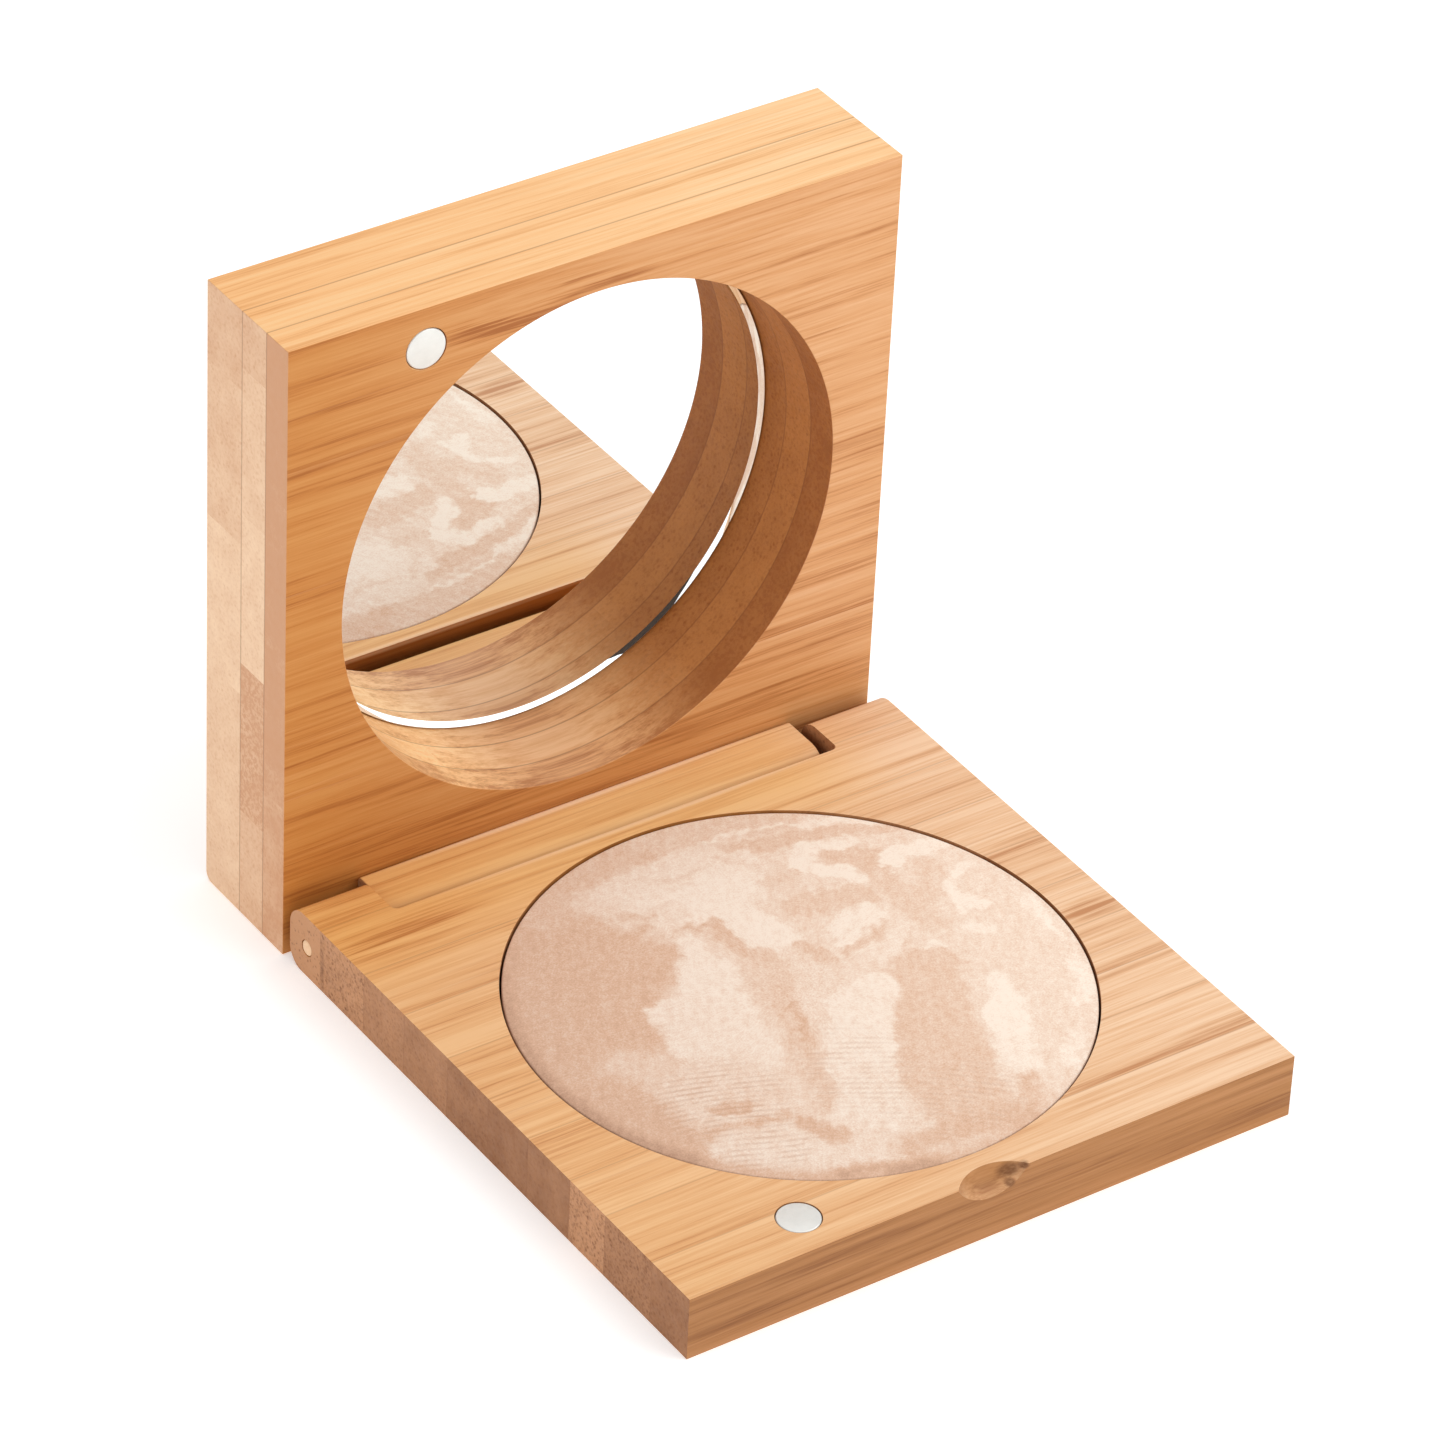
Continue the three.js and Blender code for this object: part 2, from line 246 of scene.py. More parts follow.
def cut(piece, cutters, operation="DIFFERENCE"):
    for cutter in cutters:
        modifier = piece.modifiers.new("cut", "BOOLEAN")
        modifier.operation = operation
        modifier.solver = "EXACT"
        modifier.object = cutter
    apply_modifiers(piece)
    for cutter in cutters:
        discard(cutter)


def soften_edges(piece):
    modifier = piece.modifiers.new("soft edges", "BEVEL")
    modifier.width = SOFT_EDGE
    modifier.segments = 3
    modifier.limit_method = "ANGLE"
    modifier.angle_limit = math.radians(SOFTENED_ANGLE)
    modifier.use_clamp_overlap = True
    apply_modifiers(piece)


def shade(piece, sharp_angle=40, sawn_planes=()):
    """Smooth shading that leaves flat faces flat and real edges crisp. Edges in a sawn plane, (axis, place),
    stay sharp whatever their angle."""
    mesh = piece.data
    for face in mesh.polygons:
        face.use_smooth = True
    mesh.set_sharp_from_angle(angle=math.radians(sharp_angle))
    close = 0.002 * MM
    for axis, place in sawn_planes:
        for edge in mesh.edges:
            if all(abs(mesh.vertices[end].co[axis] - place) < close for end in edge.vertices):
                edge.use_edge_sharp = True
    modifier = piece.modifiers.new("flat faces", "WEIGHTED_NORMAL")
    modifier.keep_sharp = True
    modifier.weight = 90
    apply_modifiers(piece)


def sawn(board, node, axes, board_box, name):
    """The part of a board inside a CAD strip's box, along the given axes. A left or right strip keeps only
    its own side of the middle."""
    low, high = (Vector(corner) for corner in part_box(node))
    board_low, board_high = board_box
    close = 0.01 * MM
    for axis in (X, Y, Z):
        if axis not in axes or low[axis] < board_low[axis] + close:
            low[axis] = board_low[axis] - SAW_MARGIN
        if axis not in axes or high[axis] > board_high[axis] - close:
            high[axis] = board_high[axis] + SAW_MARGIN
    centre_x = (board_low.x + board_high.x) / 2
    if node.endswith("_left"):
        high.x = centre_x
    if node.endswith("_right"):
        low.x = centre_x
    piece = bpy.data.objects.new(name, board.data.copy())
    bpy.context.scene.collection.objects.link(piece)
    cut(piece, [block("saw", low, high)], "INTERSECT")
    shade(piece, sawn_planes=[(axis, corner[axis]) for corner in (low, high) for axis in axes])
    return piece


# ---- material nodes ----


def srgb(red, green, blue):
    """A colour given as 0 to 255 display values."""

    def linear(value):
        part = value / 255
        return part / 12.92 if part <= 0.04045 else ((part + 0.055) / 1.055) ** 2.4

    return (linear(red), linear(green), linear(blue), 1.0)


class Shader:
    """A material under construction: each method adds one node and returns its output socket."""

    def __init__(self, name):
        self.material = bpy.data.materials.new(name)
        self.material.use_nodes = True
        self.tree = self.material.node_tree
        self.surface = self.tree.nodes["Principled BSDF"]
        self.place = self.add("ShaderNodeTexCoord").outputs["Object"]
        self.facing = self.tree.nodes["Texture Coordinate"].outputs["Normal"]

    def add(self, kind):
        return self.tree.nodes.new(kind)

    def feed(self, socket, value):
        if isinstance(value, bpy.types.NodeSocket):
            self.tree.links.new(value, socket)
        elif value is not None:
            socket.default_value = value

    def math(self, operation, first, second=None, third=None, clamp=False):
        node = self.add("ShaderNodeMath")
        node.operation = operation
        node.use_clamp = clamp
        for socket, value in zip(node.inputs, (first, second, third)):
            self.feed(socket, value)
        return node.outputs[0]

    def times(self, first, second):
        return self.math("MULTIPLY", first, second)

    def sway(self, level, pattern, amount):
        """The level, moved up and down by a pattern that is 0.5 on average."""
        return self.math("MULTIPLY_ADD", self.math("SUBTRACT", pattern, 0.5), amount, level)

    def vector(self, operation, first, second=None, scale=None):
        node = self.add("ShaderNodeVectorMath")
        node.operation = operation
        self.feed(node.inputs[0], first)
        self.feed(node.inputs[1], second)
        if scale is not None:
            self.feed(node.inputs["Scale"], scale)
        scalar = operation in ("DOT_PRODUCT", "LENGTH")
        return node.outputs["Value"] if scalar else node.outputs["Vector"]

    def parts(self, vector):
        node = self.add("ShaderNodeSeparateXYZ")
        self.feed(node.inputs[0], vector)
        return node.outputs

    def together(self, x, y, z):
        node = self.add("ShaderNodeCombineXYZ")
        for socket, value in zip(node.inputs, (x, y, z)):
            self.feed(socket, value)
        return node.outputs[0]

    def noise(self, vector, scale=1.0, detail=2.0, roughness=0.5, colour=False):
        node = self.add("ShaderNodeTexNoise")
        self.feed(node.inputs["Vector"], vector)
        self.feed(node.inputs["Scale"], scale)
        self.feed(node.inputs["Detail"], detail)
        self.feed(node.inputs["Roughness"], roughness)
        return node.outputs["Color" if colour else "Fac"]

    def cells(self, vector, scale):
        node = self.add("ShaderNodeTexVoronoi")
        self.feed(node.inputs["Vector"], vector)
        self.feed(node.inputs["Scale"], scale)
        return node.outputs["Distance"]

    def spread(self, value, low, high, to_low=0.0, to_high=1.0, smooth=True):
        node = self.add("ShaderNodeMapRange")
        node.interpolation_type = "SMOOTHSTEP" if smooth else "LINEAR"
        for socket, setting in zip(node.inputs, (value, low, high, to_low, to_high)):
            self.feed(socket, setting)
        return node.outputs[0]

    def mix(self, amount, first, second, blend="MIX"):
        node = self.add("ShaderNodeMix")
        node.data_type = "RGBA"
        node.blend_type = blend
        self.feed(node.inputs["Factor"], amount)
        colours = [socket for socket in node.inputs if socket.type == "RGBA"]
        self.feed(colours[0], first)
        self.feed(colours[1], second)
        return next(socket for socket in node.outputs if socket.type == "RGBA")

    def attribute(self, name, of_object=False):
        node = self.add("ShaderNodeAttribute")
        node.attribute_type = "OBJECT" if of_object else "GEOMETRY"
        node.attribute_name = name
        return node.outputs["Fac"]

    def bump(self, height, distance, strength):
        node = self.add("ShaderNodeBump")
        self.feed(node.inputs["Height"], height)
        self.feed(node.inputs["Distance"], distance)
        self.feed(node.inputs["Strength"], strength)
        return node.outputs[0]

    def finish(self, colour, roughness, normal=None, settings=None):
        self.feed(self.surface.inputs["Base Color"], colour)
        self.feed(self.surface.inputs["Roughness"], roughness)
        if normal is not None:
            self.feed(self.surface.inputs["Normal"], normal)
        for name, value in (settings or {}).items():
            self.surface.inputs[name].default_value = value
        return self.material


# ---- bamboo ----

# Fibres run along x, so the pattern is stretched along it: streaks on the long faces, dots on the ends.
FIBRE_STRETCH = 0.022
BROAD_STRETCH = 0.4 * FIBRE_STRETCH
# Sizes of the patterns, as repeats to the metre across the fibres.
BROAD_BANDS = 300.0
STREAKS = 1000.0
DARK_LINES = 1700.0
FINE_FIBRES = 3800.0
BUNDLES = 1500.0
SPECKS = 2100.0
WANDER = 1.4 * MM  # how far the fibres stray from straight lines

# colour of the painted shade in the hinge notch and of the dark patches on the scoop
SHADE_AND_DARK_PATCH = srgb(98, 54, 24)
HIGHLIGHT_PALE = srgb(255, 226, 198)
# pale colour of the painted highlights on rounded edges
GLUE_LINE = srgb(122, 72, 36)
GLUE_LINE_REACH = 0.16 * MM
GLUE_LINE_CORE = 0.03 * MM


def glue_lines(shader):
    """How close a place is to one of its piece's glued faces across y, from 0 to 1. Each piece holds where
    they are."""
    y = shader.parts(shader.place)[Y]
    nearest = 1.0
    for end in ("low", "high"):
        glued = shader.attribute(f"glued_{end}", of_object=True)
        distance = shader.math("ABSOLUTE", shader.math("SUBTRACT", y, glued))
        nearest = shader.math("MINIMUM", nearest, distance)
    return shader.spread(nearest, GLUE_LINE_REACH, GLUE_LINE_CORE)


def spot(shader, centre, reach, edge, core):
    """A soft blob from 0 to 1: an ellipsoid with the given half sizes. It starts at the edge's share of them
    and is full inside the core's."""
    offset = shader.vector("SUBTRACT", shader.place, centre)
    offset = shader.vector("DIVIDE", offset, reach)
    return shader.spread(shader.vector("LENGTH", offset), edge, core)


class Grain:
    """The patterns that all the bamboo shares, from a piece's own tone, seed and pores."""

    def __init__(self, shader):
        self.tone = shader.attribute("tone", of_object=True)
        self.end_tone = shader.attribute("end_tone", of_object=True)
        self.wall_tone = shader.attribute("wall_tone", of_object=True)
        self.pores = shader.attribute("pores", of_object=True)
        seed = shader.attribute("seed", of_object=True)
        wander = shader.noise(shader.vector("SCALE", shader.place, scale=14.0), detail=1.0, colour=True)
        wander = shader.vector("SCALE", shader.vector("SUBTRACT", wander, (0.5, 0.5, 0.5)), scale=WANDER)
        moved = shader.vector("ADD", shader.place, wander)
        own_place = shader.together(seed, shader.times(seed, 0.37), shader.times(seed, 0.61))
        self.solid = shader.vector("ADD", moved, own_place)
        along = shader.vector("MULTIPLY", self.solid, (FIBRE_STRETCH, 1.0, 1.0))
        longer = shader.vector("MULTIPLY", self.solid, (BROAD_STRETCH, 1.0, 1.0))
        self.broad = shader.noise(longer, scale=BROAD_BANDS, detail=2.0)
        self.streak = shader.noise(along, scale=STREAKS, detail=4.0, roughness=0.6)
        self.fine = shader.noise(along, scale=FINE_FIBRES, detail=3.0, roughness=0.65)
        line = shader.noise(longer, scale=DARK_LINES, detail=2.0, roughness=0.4)
        self.line = shader.spread(line, 0.6, 0.76)

    def side_level(self, shader):
        """0 for the palest wood on a long face, 1 for the darkest."""
        level = shader.math("MULTIPLY_ADD", self.broad, 1.3, -0.27)
        level = shader.sway(level, self.streak, 1.7)
        level = shader.sway(level, self.fine, 1.3)
        return shader.math("MULTIPLY_ADD", self.tone, -0.2, level, clamp=True)

    def end_level(self, shader, in_recess=False):
        """The same on sawn ends, where the fibre bundles are dots."""
        bundle = shader.cells(shader.vector("MULTIPLY", self.solid, (0.2, 1.0, 1.0)), scale=BUNDLES)
        bundle = shader.spread(bundle, 0.42, 0.12)
        speck = shader.noise(self.solid, scale=SPECKS, detail=3.0, roughness=0.7)
        dots = shader.math("ADD", bundle, shader.spread(speck, 0.42, 0.7))
        strength = shader.times(0.45 if in_recess else self.pores, 0.55)
        level = shader.math("MULTIPLY_ADD", self.broad, 0.5, 0.25)
        level = shader.math("SUBTRACT", level, self.wall_tone if in_recess else self.end_tone)
        return shader.math("MULTIPLY_ADD", dots, strength, level, clamp=True)


def three_tones(shader, level, tones):
    pale, honey, brown = tones
    colour = shader.mix(shader.spread(level, 0.0, 0.5, smooth=False), pale, honey)
    return shader.mix(shader.spread(level, 0.5, 1.0, smooth=False), colour, brown)


def tinted(shader, amount, colour, tint):
    return shader.mix(amount, colour, shader.mix(1.0, colour, tint, "MULTIPLY"))


def recess_wall(shader, grain, colour, place, facing, level, recess_side_shaded, recess_end_shaded):
    """Changes the colour inside the lid's round opening to the warmer, darker tones of its wall: partly the
    end grain that the opening cuts, partly painted shade inside it. The half that faces right is painted
    paler as lit from the right, and the half that faces left darker as painted shade."""
    half_width = (LID_HIGH.x - LID_LOW.x) / 2
    from_middle = shader.math("ABSOLUTE", shader.math("SUBTRACT", place[X], GLASS.x))
    inside = shader.spread(from_middle, half_width - 2 * MM, half_width - 4 * MM)
    below_top = shader.spread(place[Z], LID_HIGH.z - 1 * MM, LID_HIGH.z - 2 * MM)
    left_ends = shader.spread(facing[X], -0.15, -0.6)
    right_ends = shader.spread(facing[X], 0.35, 0.9)
    side = three_tones(shader, shader.math("SUBTRACT", level, grain.wall_tone, clamp=True), recess_side_shaded)
    end = shader.mix(grain.end_level(shader, in_recess=True), *recess_end_shaded)
    wall = shader.mix(shader.math("MAXIMUM", left_ends, right_ends), side, end)
    # painted light and shade on the wall: lit where it faces right, shaded where it faces left
    lit_half = shader.spread(facing[X], 0.1, 0.75)
    shaded_half = shader.spread(facing[X], 0.0, -0.45)
    wall = tinted(shader, shaded_half, wall, (0.96, 0.9, 0.76, 1.0))
    wall = tinted(shader, lit_half, wall, (1.52, 1.8, 1.8, 1.0))
    return shader.mix(shader.times(inside, below_top), colour, wall)


def stained(shader, grain, level, stains):
    """Darker wood that follows the fibres."""
    for centre, reach, strength in stains:
        blot = spot(shader, centre, reach, 1.1, 0.2)
        smear = shader.spread(grain.streak, 0.34, 0.62)
        amount = shader.times(shader.times(blot, smear), strength)
        level = shader.math("ADD", level, amount, clamp=True)
    return level


# Painted shade, and darker patches, each a blob that follows the fibres.
def darkened_by_shade_and_patches(shader, grain, colour, shade_and_dark_patches):
    for centre, reach, strength in shade_and_dark_patches:
        darkening = spot(shader, centre, reach, 1.0, 0.4)
        mottle = shader.spread(grain.fine, 0.3, 0.6, 0.7, 1.0)
        darkening = shader.times(shader.times(darkening, mottle), strength)
        colour = shader.mix(darkening, colour, SHADE_AND_DARK_PATCH)
    return colour


# Painted highlights: pale lines where rounded edges catch the light.
def painted_highlights(shader, grain, colour, highlights):
    for centre, reach, strength in highlights:
        pale = spot(shader, centre, reach, 1.0, 0.3)
        pale = shader.times(pale, shader.spread(grain.streak, 0.3, 0.6, 0.4, 1.0))
        colour = shader.mix(shader.times(pale, strength), colour, HIGHLIGHT_PALE)
    return colour


def bamboo(name, top, flank, end, recess_side_shaded=None, recess_end_shaded=None, top_left_shade=None,
           flank_left_shade=None, hinge_shade=None, hinge_shade_reach=None, stains=(), shade_and_dark_patches=(), highlights=(),
           seam_strength=0.22):
    """Sanded bamboo. Top, flank and end are the tones of the faces that look along z, y and x: the strips
    show a different side of the cane on each, and the flank tones are also darker as painted shade. The
    recess tones are for the wall of the lid's round opening, darker in part as painted shade. The left and
    hinge shades are painted shade that darkens the colour towards the left and near the hinge. Stains, the
    painted shade and dark patches, and the painted highlights are each (centre, half sizes, strength)."""
    shader = Shader(name)
    grain = Grain(shader)
    place = shader.parts(shader.place)
    facing = shader.parts(shader.facing)
    towards_y = shader.spread(shader.math("ABSOLUTE", facing[Y]), 0.4, 0.85)
    towards_x = shader.spread(shader.math("ABSOLUTE", facing[X]), 0.35, 0.9)

    level = stained(shader, grain, grain.side_level(shader), stains)
    top_colour = three_tones(shader, level, top)
    flank_colour = three_tones(shader, level, flank)
    # painted shade: darker towards the left, away from the light on the right
    shade_to_left = shader.spread(place[X], BASE_HIGH.x - 8 * MM, BASE_LOW.x + 4 * MM, smooth=False)
    if top_left_shade is not None:
        top_colour = tinted(shader, shade_to_left, top_colour, top_left_shade)
    if flank_left_shade is not None:
        flank_colour = tinted(shader, shade_to_left, flank_colour, flank_left_shade)
    # the flank tones are darker than the top's partly as painted shade
    colour = shader.mix(towards_y, top_colour, flank_colour)
    colour = shader.mix(shader.times(grain.line, 0.3), colour, top[2])
    is_lid = recess_side_shaded is not None
    # painted shade near the hinge: low on the lid, and at the back of the base off its right end
    if hinge_shade is not None:
        shade_near_hinge = shader.spread(place[Z if is_lid else Y], *hinge_shade_reach)
        if not is_lid:
            hinge_shade_off_right = shader.spread(place[X], BASE_HIGH.x - 2 * MM, BASE_HIGH.x - 20 * MM)
            shade_near_hinge = shader.times(shade_near_hinge, hinge_shade_off_right)
        colour = tinted(shader, shade_near_hinge, colour, hinge_shade)
    colour = shader.mix(towards_x, colour, shader.mix(grain.end_level(shader), *end))
    if is_lid:
        wall = recess_wall(shader, grain, colour, place, facing, level, recess_side_shaded, recess_end_shaded)
        colour = shader.mix(shader.math("SUBTRACT", 1.0, towards_y), colour, wall)
    # painted shade in the hinge notch, and dark patches on the scoop
    colour = darkened_by_shade_and_patches(shader, grain, colour, shade_and_dark_patches)
    # painted highlights along rounded edges
    colour = painted_highlights(shader, grain, colour, highlights)
    colour = shader.mix(shader.times(glue_lines(shader), seam_strength), colour, GLUE_LINE)

    roughness = shader.spread(grain.streak, 0.2, 0.8, 0.46, 0.62)
    height = shader.math("MULTIPLY_ADD", grain.streak, 0.4, shader.times(grain.fine, 0.6))
    height = shader.math("SUBTRACT", height, shader.times(grain.line, 0.5))
    normal = shader.bump(height, 0.04 * MM, 0.5)
    return shader.finish(colour, roughness, normal, {"Specular IOR Level": 0.3})


LID_BAMBOO = bamboo(
    "lid bamboo",
    top=(srgb(251, 211, 162), srgb(248, 197, 142), srgb(222, 163, 105)),
    # flank tones: darker than the top partly as painted shade
    flank=(srgb(225, 173, 126), srgb(214, 155, 102), srgb(177, 113, 63)),
    end=(srgb(243, 211, 176), srgb(201, 148, 109)),
    # the recess tones are darker partly as painted shade inside the opening
    recess_side_shaded=(srgb(238, 190, 142), srgb(224, 168, 117), srgb(186, 125, 80)),
    recess_end_shaded=(srgb(209, 144, 84), srgb(160, 98, 49)),
    # painted shade towards the left and near the hinge
    top_left_shade=(0.95, 0.86, 0.74, 1.0),
    flank_left_shade=(0.80, 0.63, 0.34, 1.0),
    hinge_shade=(0.95, 0.89, 0.74, 1.0),
    hinge_shade_reach=(LID_LOW.z + 22 * MM, LID_LOW.z + 6 * MM),
    stains=[
        ((-8 * MM, LID_LOW.y, 76.5 * MM), (17 * MM, 6 * MM, 4.5 * MM), 0.8),
        ((-14 * MM, LID_LOW.y, 75.2 * MM), (8 * MM, 6 * MM, 2.4 * MM), 0.5),
    ],
    seam_strength=0.45,
)
BASE_BAMBOO = bamboo(
    "base bamboo",
    top=(srgb(243, 206, 170), srgb(231, 185, 143), srgb(197, 139, 95)),
    # flank tones: darker than the top partly as painted shade
    flank=(srgb(183, 128, 78), srgb(168, 114, 64), srgb(133, 81, 41)),
    end=(srgb(190, 136, 94), srgb(122, 72, 34)),
    # painted shade towards the left and near the hinge
    top_left_shade=(0.92, 0.80, 0.60, 1.0),
    flank_left_shade=(0.94, 0.92, 0.92, 1.0),
    hinge_shade=(0.98, 0.88, 0.62, 1.0),
    hinge_shade_reach=(BASE_HIGH.y - 24 * MM, BASE_HIGH.y - 8 * MM),
    stains=[
        ((-33 * MM, 20 * MM, BASE_HIGH.z), (15 * MM, 3.5 * MM, 4 * MM), 0.8),
        ((37 * MM, -15.5 * MM, BASE_HIGH.z), (6 * MM, 2.2 * MM, 3 * MM), 0.9),
    ],
    shade_and_dark_patches=[
        # darker patches on the scoop's right wall
        ((2.2 * MM, BASE_LOW.y + 1.1 * MM, BASE_HIGH.z - 0.8 * MM), (2.0 * MM, 1.1 * MM, 1.0 * MM), 0.75),
        ((1.9 * MM, BASE_LOW.y + 0.3 * MM, BASE_HIGH.z - 1.9 * MM), (0.8 * MM, 0.9 * MM, 0.6 * MM), 0.7),
        ((3.7 * MM, BASE_LOW.y + 0.4 * MM, BASE_HIGH.z - 0.3 * MM), (0.9 * MM, 0.8 * MM, 0.5 * MM), 0.8),
        # painted shade on the notch's front wall, which faces the lid
        ((0, PIN.y - NOTCH_CLEARANCE + 0.4 * MM, 3 * MM), (60 * MM, 0.7 * MM, 7 * MM), 0.75),
        # painted shade on the notch's right wall, in the gap beside the tongue
        ((NOTCH_RIGHT - 0.2 * MM, PIN.y, 2.5 * MM), (1.0 * MM, 8 * MM, 5.6 * MM), 0.9),
    ],
    highlights=[
        # painted highlight on the tongue's rounded rear edge
        ((-1 * MM, LID_LOW.y - 0.55 * MM, TONGUE_HIGH.z - 0.1 * MM), (31 * MM, 1.0 * MM, 1.3 * MM), 0.95),
        # painted highlight on the notch's front edge
        ((3 * MM, PIN.y - NOTCH_CLEARANCE - 0.1 * MM, BASE_HIGH.z), (33 * MM, 0.7 * MM, 0.8 * MM), 0.6),
    ],
)
PIN_BAMBOO = bamboo(
    "pin bamboo",
    top=(srgb(246, 216, 178), srgb(232, 192, 146), srgb(196, 146, 102)),
    flank=(srgb(246, 216, 178), srgb(232, 192, 146), srgb(196, 146, 102)),
    end=(srgb(244, 206, 166), srgb(214, 168, 126)),
)


def give(piece, node, body, material):
    """Puts the finished piece in its CAD node's place."""
    piece.data.materials.clear()
    piece.data.materials.append(material)
    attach(piece, body)
    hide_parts(node)


FAR_AWAY = 1.0  # for a face that isn't glued: farther off than any place on the compact


def mark(piece, tone, seed, pores, end_tone=0.0, node=None, board_box=None):
    """Gives a piece of bamboo its own grain, and the places of its glued faces if it is a strip."""
    piece["tone"] = tone
    piece["end_tone"] = end_tone
    piece["seed"] = seed
    piece["pores"] = pores
    for end, name in enumerate(("glued_low", "glued_high")):
        piece[name] = FAR_AWAY
        if node is not None:
            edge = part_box(node)[end].y
            if abs(edge - board_box[end].y) > 0.01 * MM:
                piece[name] = edge


# ---- base board ----

# For each strip: the tone of its long faces, the tone of its sawn ends (paler above 0), and its pores.
BASE_TONES = {
    "base_strip_1": (0.0, -0.1, 0.3),
    "base_strip_2": (-0.3, 0.05, 0.6),
    "base_strip_3": (0.2, 0.45, 0.9),
    "base_strip_4": (-0.2, -0.1, 0.2),
    "base_strip_5": (0.2, -0.15, 0.2),
    "base_strip_6": (-0.4, -0.1, 0.3),
    "base_strip_7": (0.3, 0.1, 0.3),
    "base_strip_8": (-0.1, 0.2, 0.4),
    "base_strip_9": (0.1, 0.45, 0.9),
    "base_ear_left": (-0.3, 1.0, 1.2),
    "base_ear_right": (0.2, 0.4, 0.6),
}
BASE_SEED_STEP = 0.131
LID_FIRST_SEED = 2.0
LID_SEED_STEP = 0.173

# The same end tones for each ply of the lid, from its hinge edge up, and each ply's tone on the wall of the
# recess. One strip of the core has more pores than the rest.
LID_END_TONES = {
    "lid_back": (0.1, 0.1, 0.2, 0.0, -0.1),
    "lid_core": (-0.1, -0.25, 0.2, 0.1, -0.1),
    "lid_front": (-0.35, -0.45, -0.5, -0.55),
}
LID_WALL_TONES = {"lid_back": -0.05, "lid_core": 0.1, "lid_front": -0.3}
LID_PORES = 0.3
POROUS_LID_STRIP = "lid_core_strip_2"
POROUS_LID_PORES = 0.8


def magnet_pocket(node, axis, opening):
    """A cutter for a magnet's pocket, open towards the low or high end of the axis."""
    low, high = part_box(node)
    radius = (high.x - low.x) / 2 + POCKET_CLEARANCE
    ends = (low[axis], high[axis] + SAW_MARGIN) if opening > 0 else (low[axis] - SAW_MARGIN, high[axis])
    return rod("pocket", middle(node), radius, *ends, axis)


def base_board():
    outline = rounded_outline(
        (BASE_LOW.y, BASE_LOW.z), (BASE_HIGH.y, BASE_HIGH.z), (0, EAR_BOTTOM_RADIUS, EAR_TOP_RADIUS, 0)
    )
    board = extruded("base board", outline, X, BASE_LOW.x, BASE_HIGH.x)
    above = BASE_HIGH.z + SAW_MARGIN
    below = BASE_LOW.z - SAW_MARGIN
    notch_outline = rounded_outline(
        (NOTCH_LEFT, PIN.y - NOTCH_CLEARANCE),
        (NOTCH_RIGHT, BASE_HIGH.y + SAW_MARGIN),
        (NOTCH_CORNER_RADIUS, NOTCH_CORNER_RADIUS, 0, 0),
        steps=8,
    )
    scoop_centre = Vector((
        BASE_LOW.x + SCOOP_FROM_LEFT, BASE_LOW.y - SCOOP_AHEAD, BASE_HIGH.z + SCOOP_ABOVE
    ))
    cutters = [
        rod("well", CAKE, WELL_RADIUS, BASE_LOW.z + WELL_FLOOR, above, Z, ROUND_STEPS),
        extruded("notch", notch_outline, Z, below, above),
        ball("scoop", scoop_centre, SCOOP_RADIUS),
        magnet_pocket("base_magnet", Z, 1),
        rod("pin bore", PIN, PIN_RADIUS + PIN_BORE_CLEARANCE, BASE_LOW.x - SAW_MARGIN,
            BASE_HIGH.x + SAW_MARGIN, X, 48),
    ]
    cut(board, cutters)
    soften_edges(board)
    return board


def make_base():
    board = base_board()
    for index, node in enumerate(BASE_STRIPS):
        tone, end_tone, pores = BASE_TONES[node]
        strip = sawn(board, node, (Y,), (BASE_LOW, BASE_HIGH), node + "_fine")
        seed = BASE_SEED_STEP * index
        mark(strip, tone, seed, pores, end_tone, node, (BASE_LOW, BASE_HIGH))
        give(strip, node, "base", BASE_BAMBOO)
    discard(board)


# ---- lid board and tongue ----


def lid_board():
    outline = rounded_outline(
        (LID_LOW.y, LID_LOW.z), (LID_HIGH.y, LID_HIGH.z), (0, LID_BACK_EDGE_RADIUS, 0, 0)
    )
    board = extruded("lid board", outline, X, LID_LOW.x, LID_HIGH.x)
    cutters = [
        rod("recess", GLASS, RECESS_RADIUS, LID_LOW.y - SAW_MARGIN, LID_HIGH.y - RECESS_FLOOR, Y,
            ROUND_STEPS),
        magnet_pocket("lid_magnet", Y, -1),
    ]
    cut(board, cutters)
    soften_edges(board)
    return board


def lid_tone(index):
    """Neighbouring strips differ a little, always in the same way."""
    return 0.25 * math.sin(2.4 * index + 0.6)


def tongue():
    low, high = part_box("hinge_tongue")
    outline = rounded_outline(
        (low.y, low.z),
        (high.y, high.z),
        (TONGUE_HEEL_RADIUS, 0, TONGUE_ROOT_RADIUS, TONGUE_TIP_RADIUS),
    )
    bar = extruded("hinge_tongue_fine", outline, X, low.x, high.x)
    bore = PIN_RADIUS + TONGUE_BORE_CLEARANCE
    cutters = [
        rod("left bore", PIN, bore, low.x - SAW_MARGIN, NOTCH_LEFT + TONGUE_BORE_DEPTH, X, 48),
        rod("right bore", PIN, bore, NOTCH_RIGHT - TONGUE_BORE_DEPTH, high.x + SAW_MARGIN, X, 48),
    ]
    cut(bar, cutters)
    soften_edges(bar)
    shade(bar)
    return bar


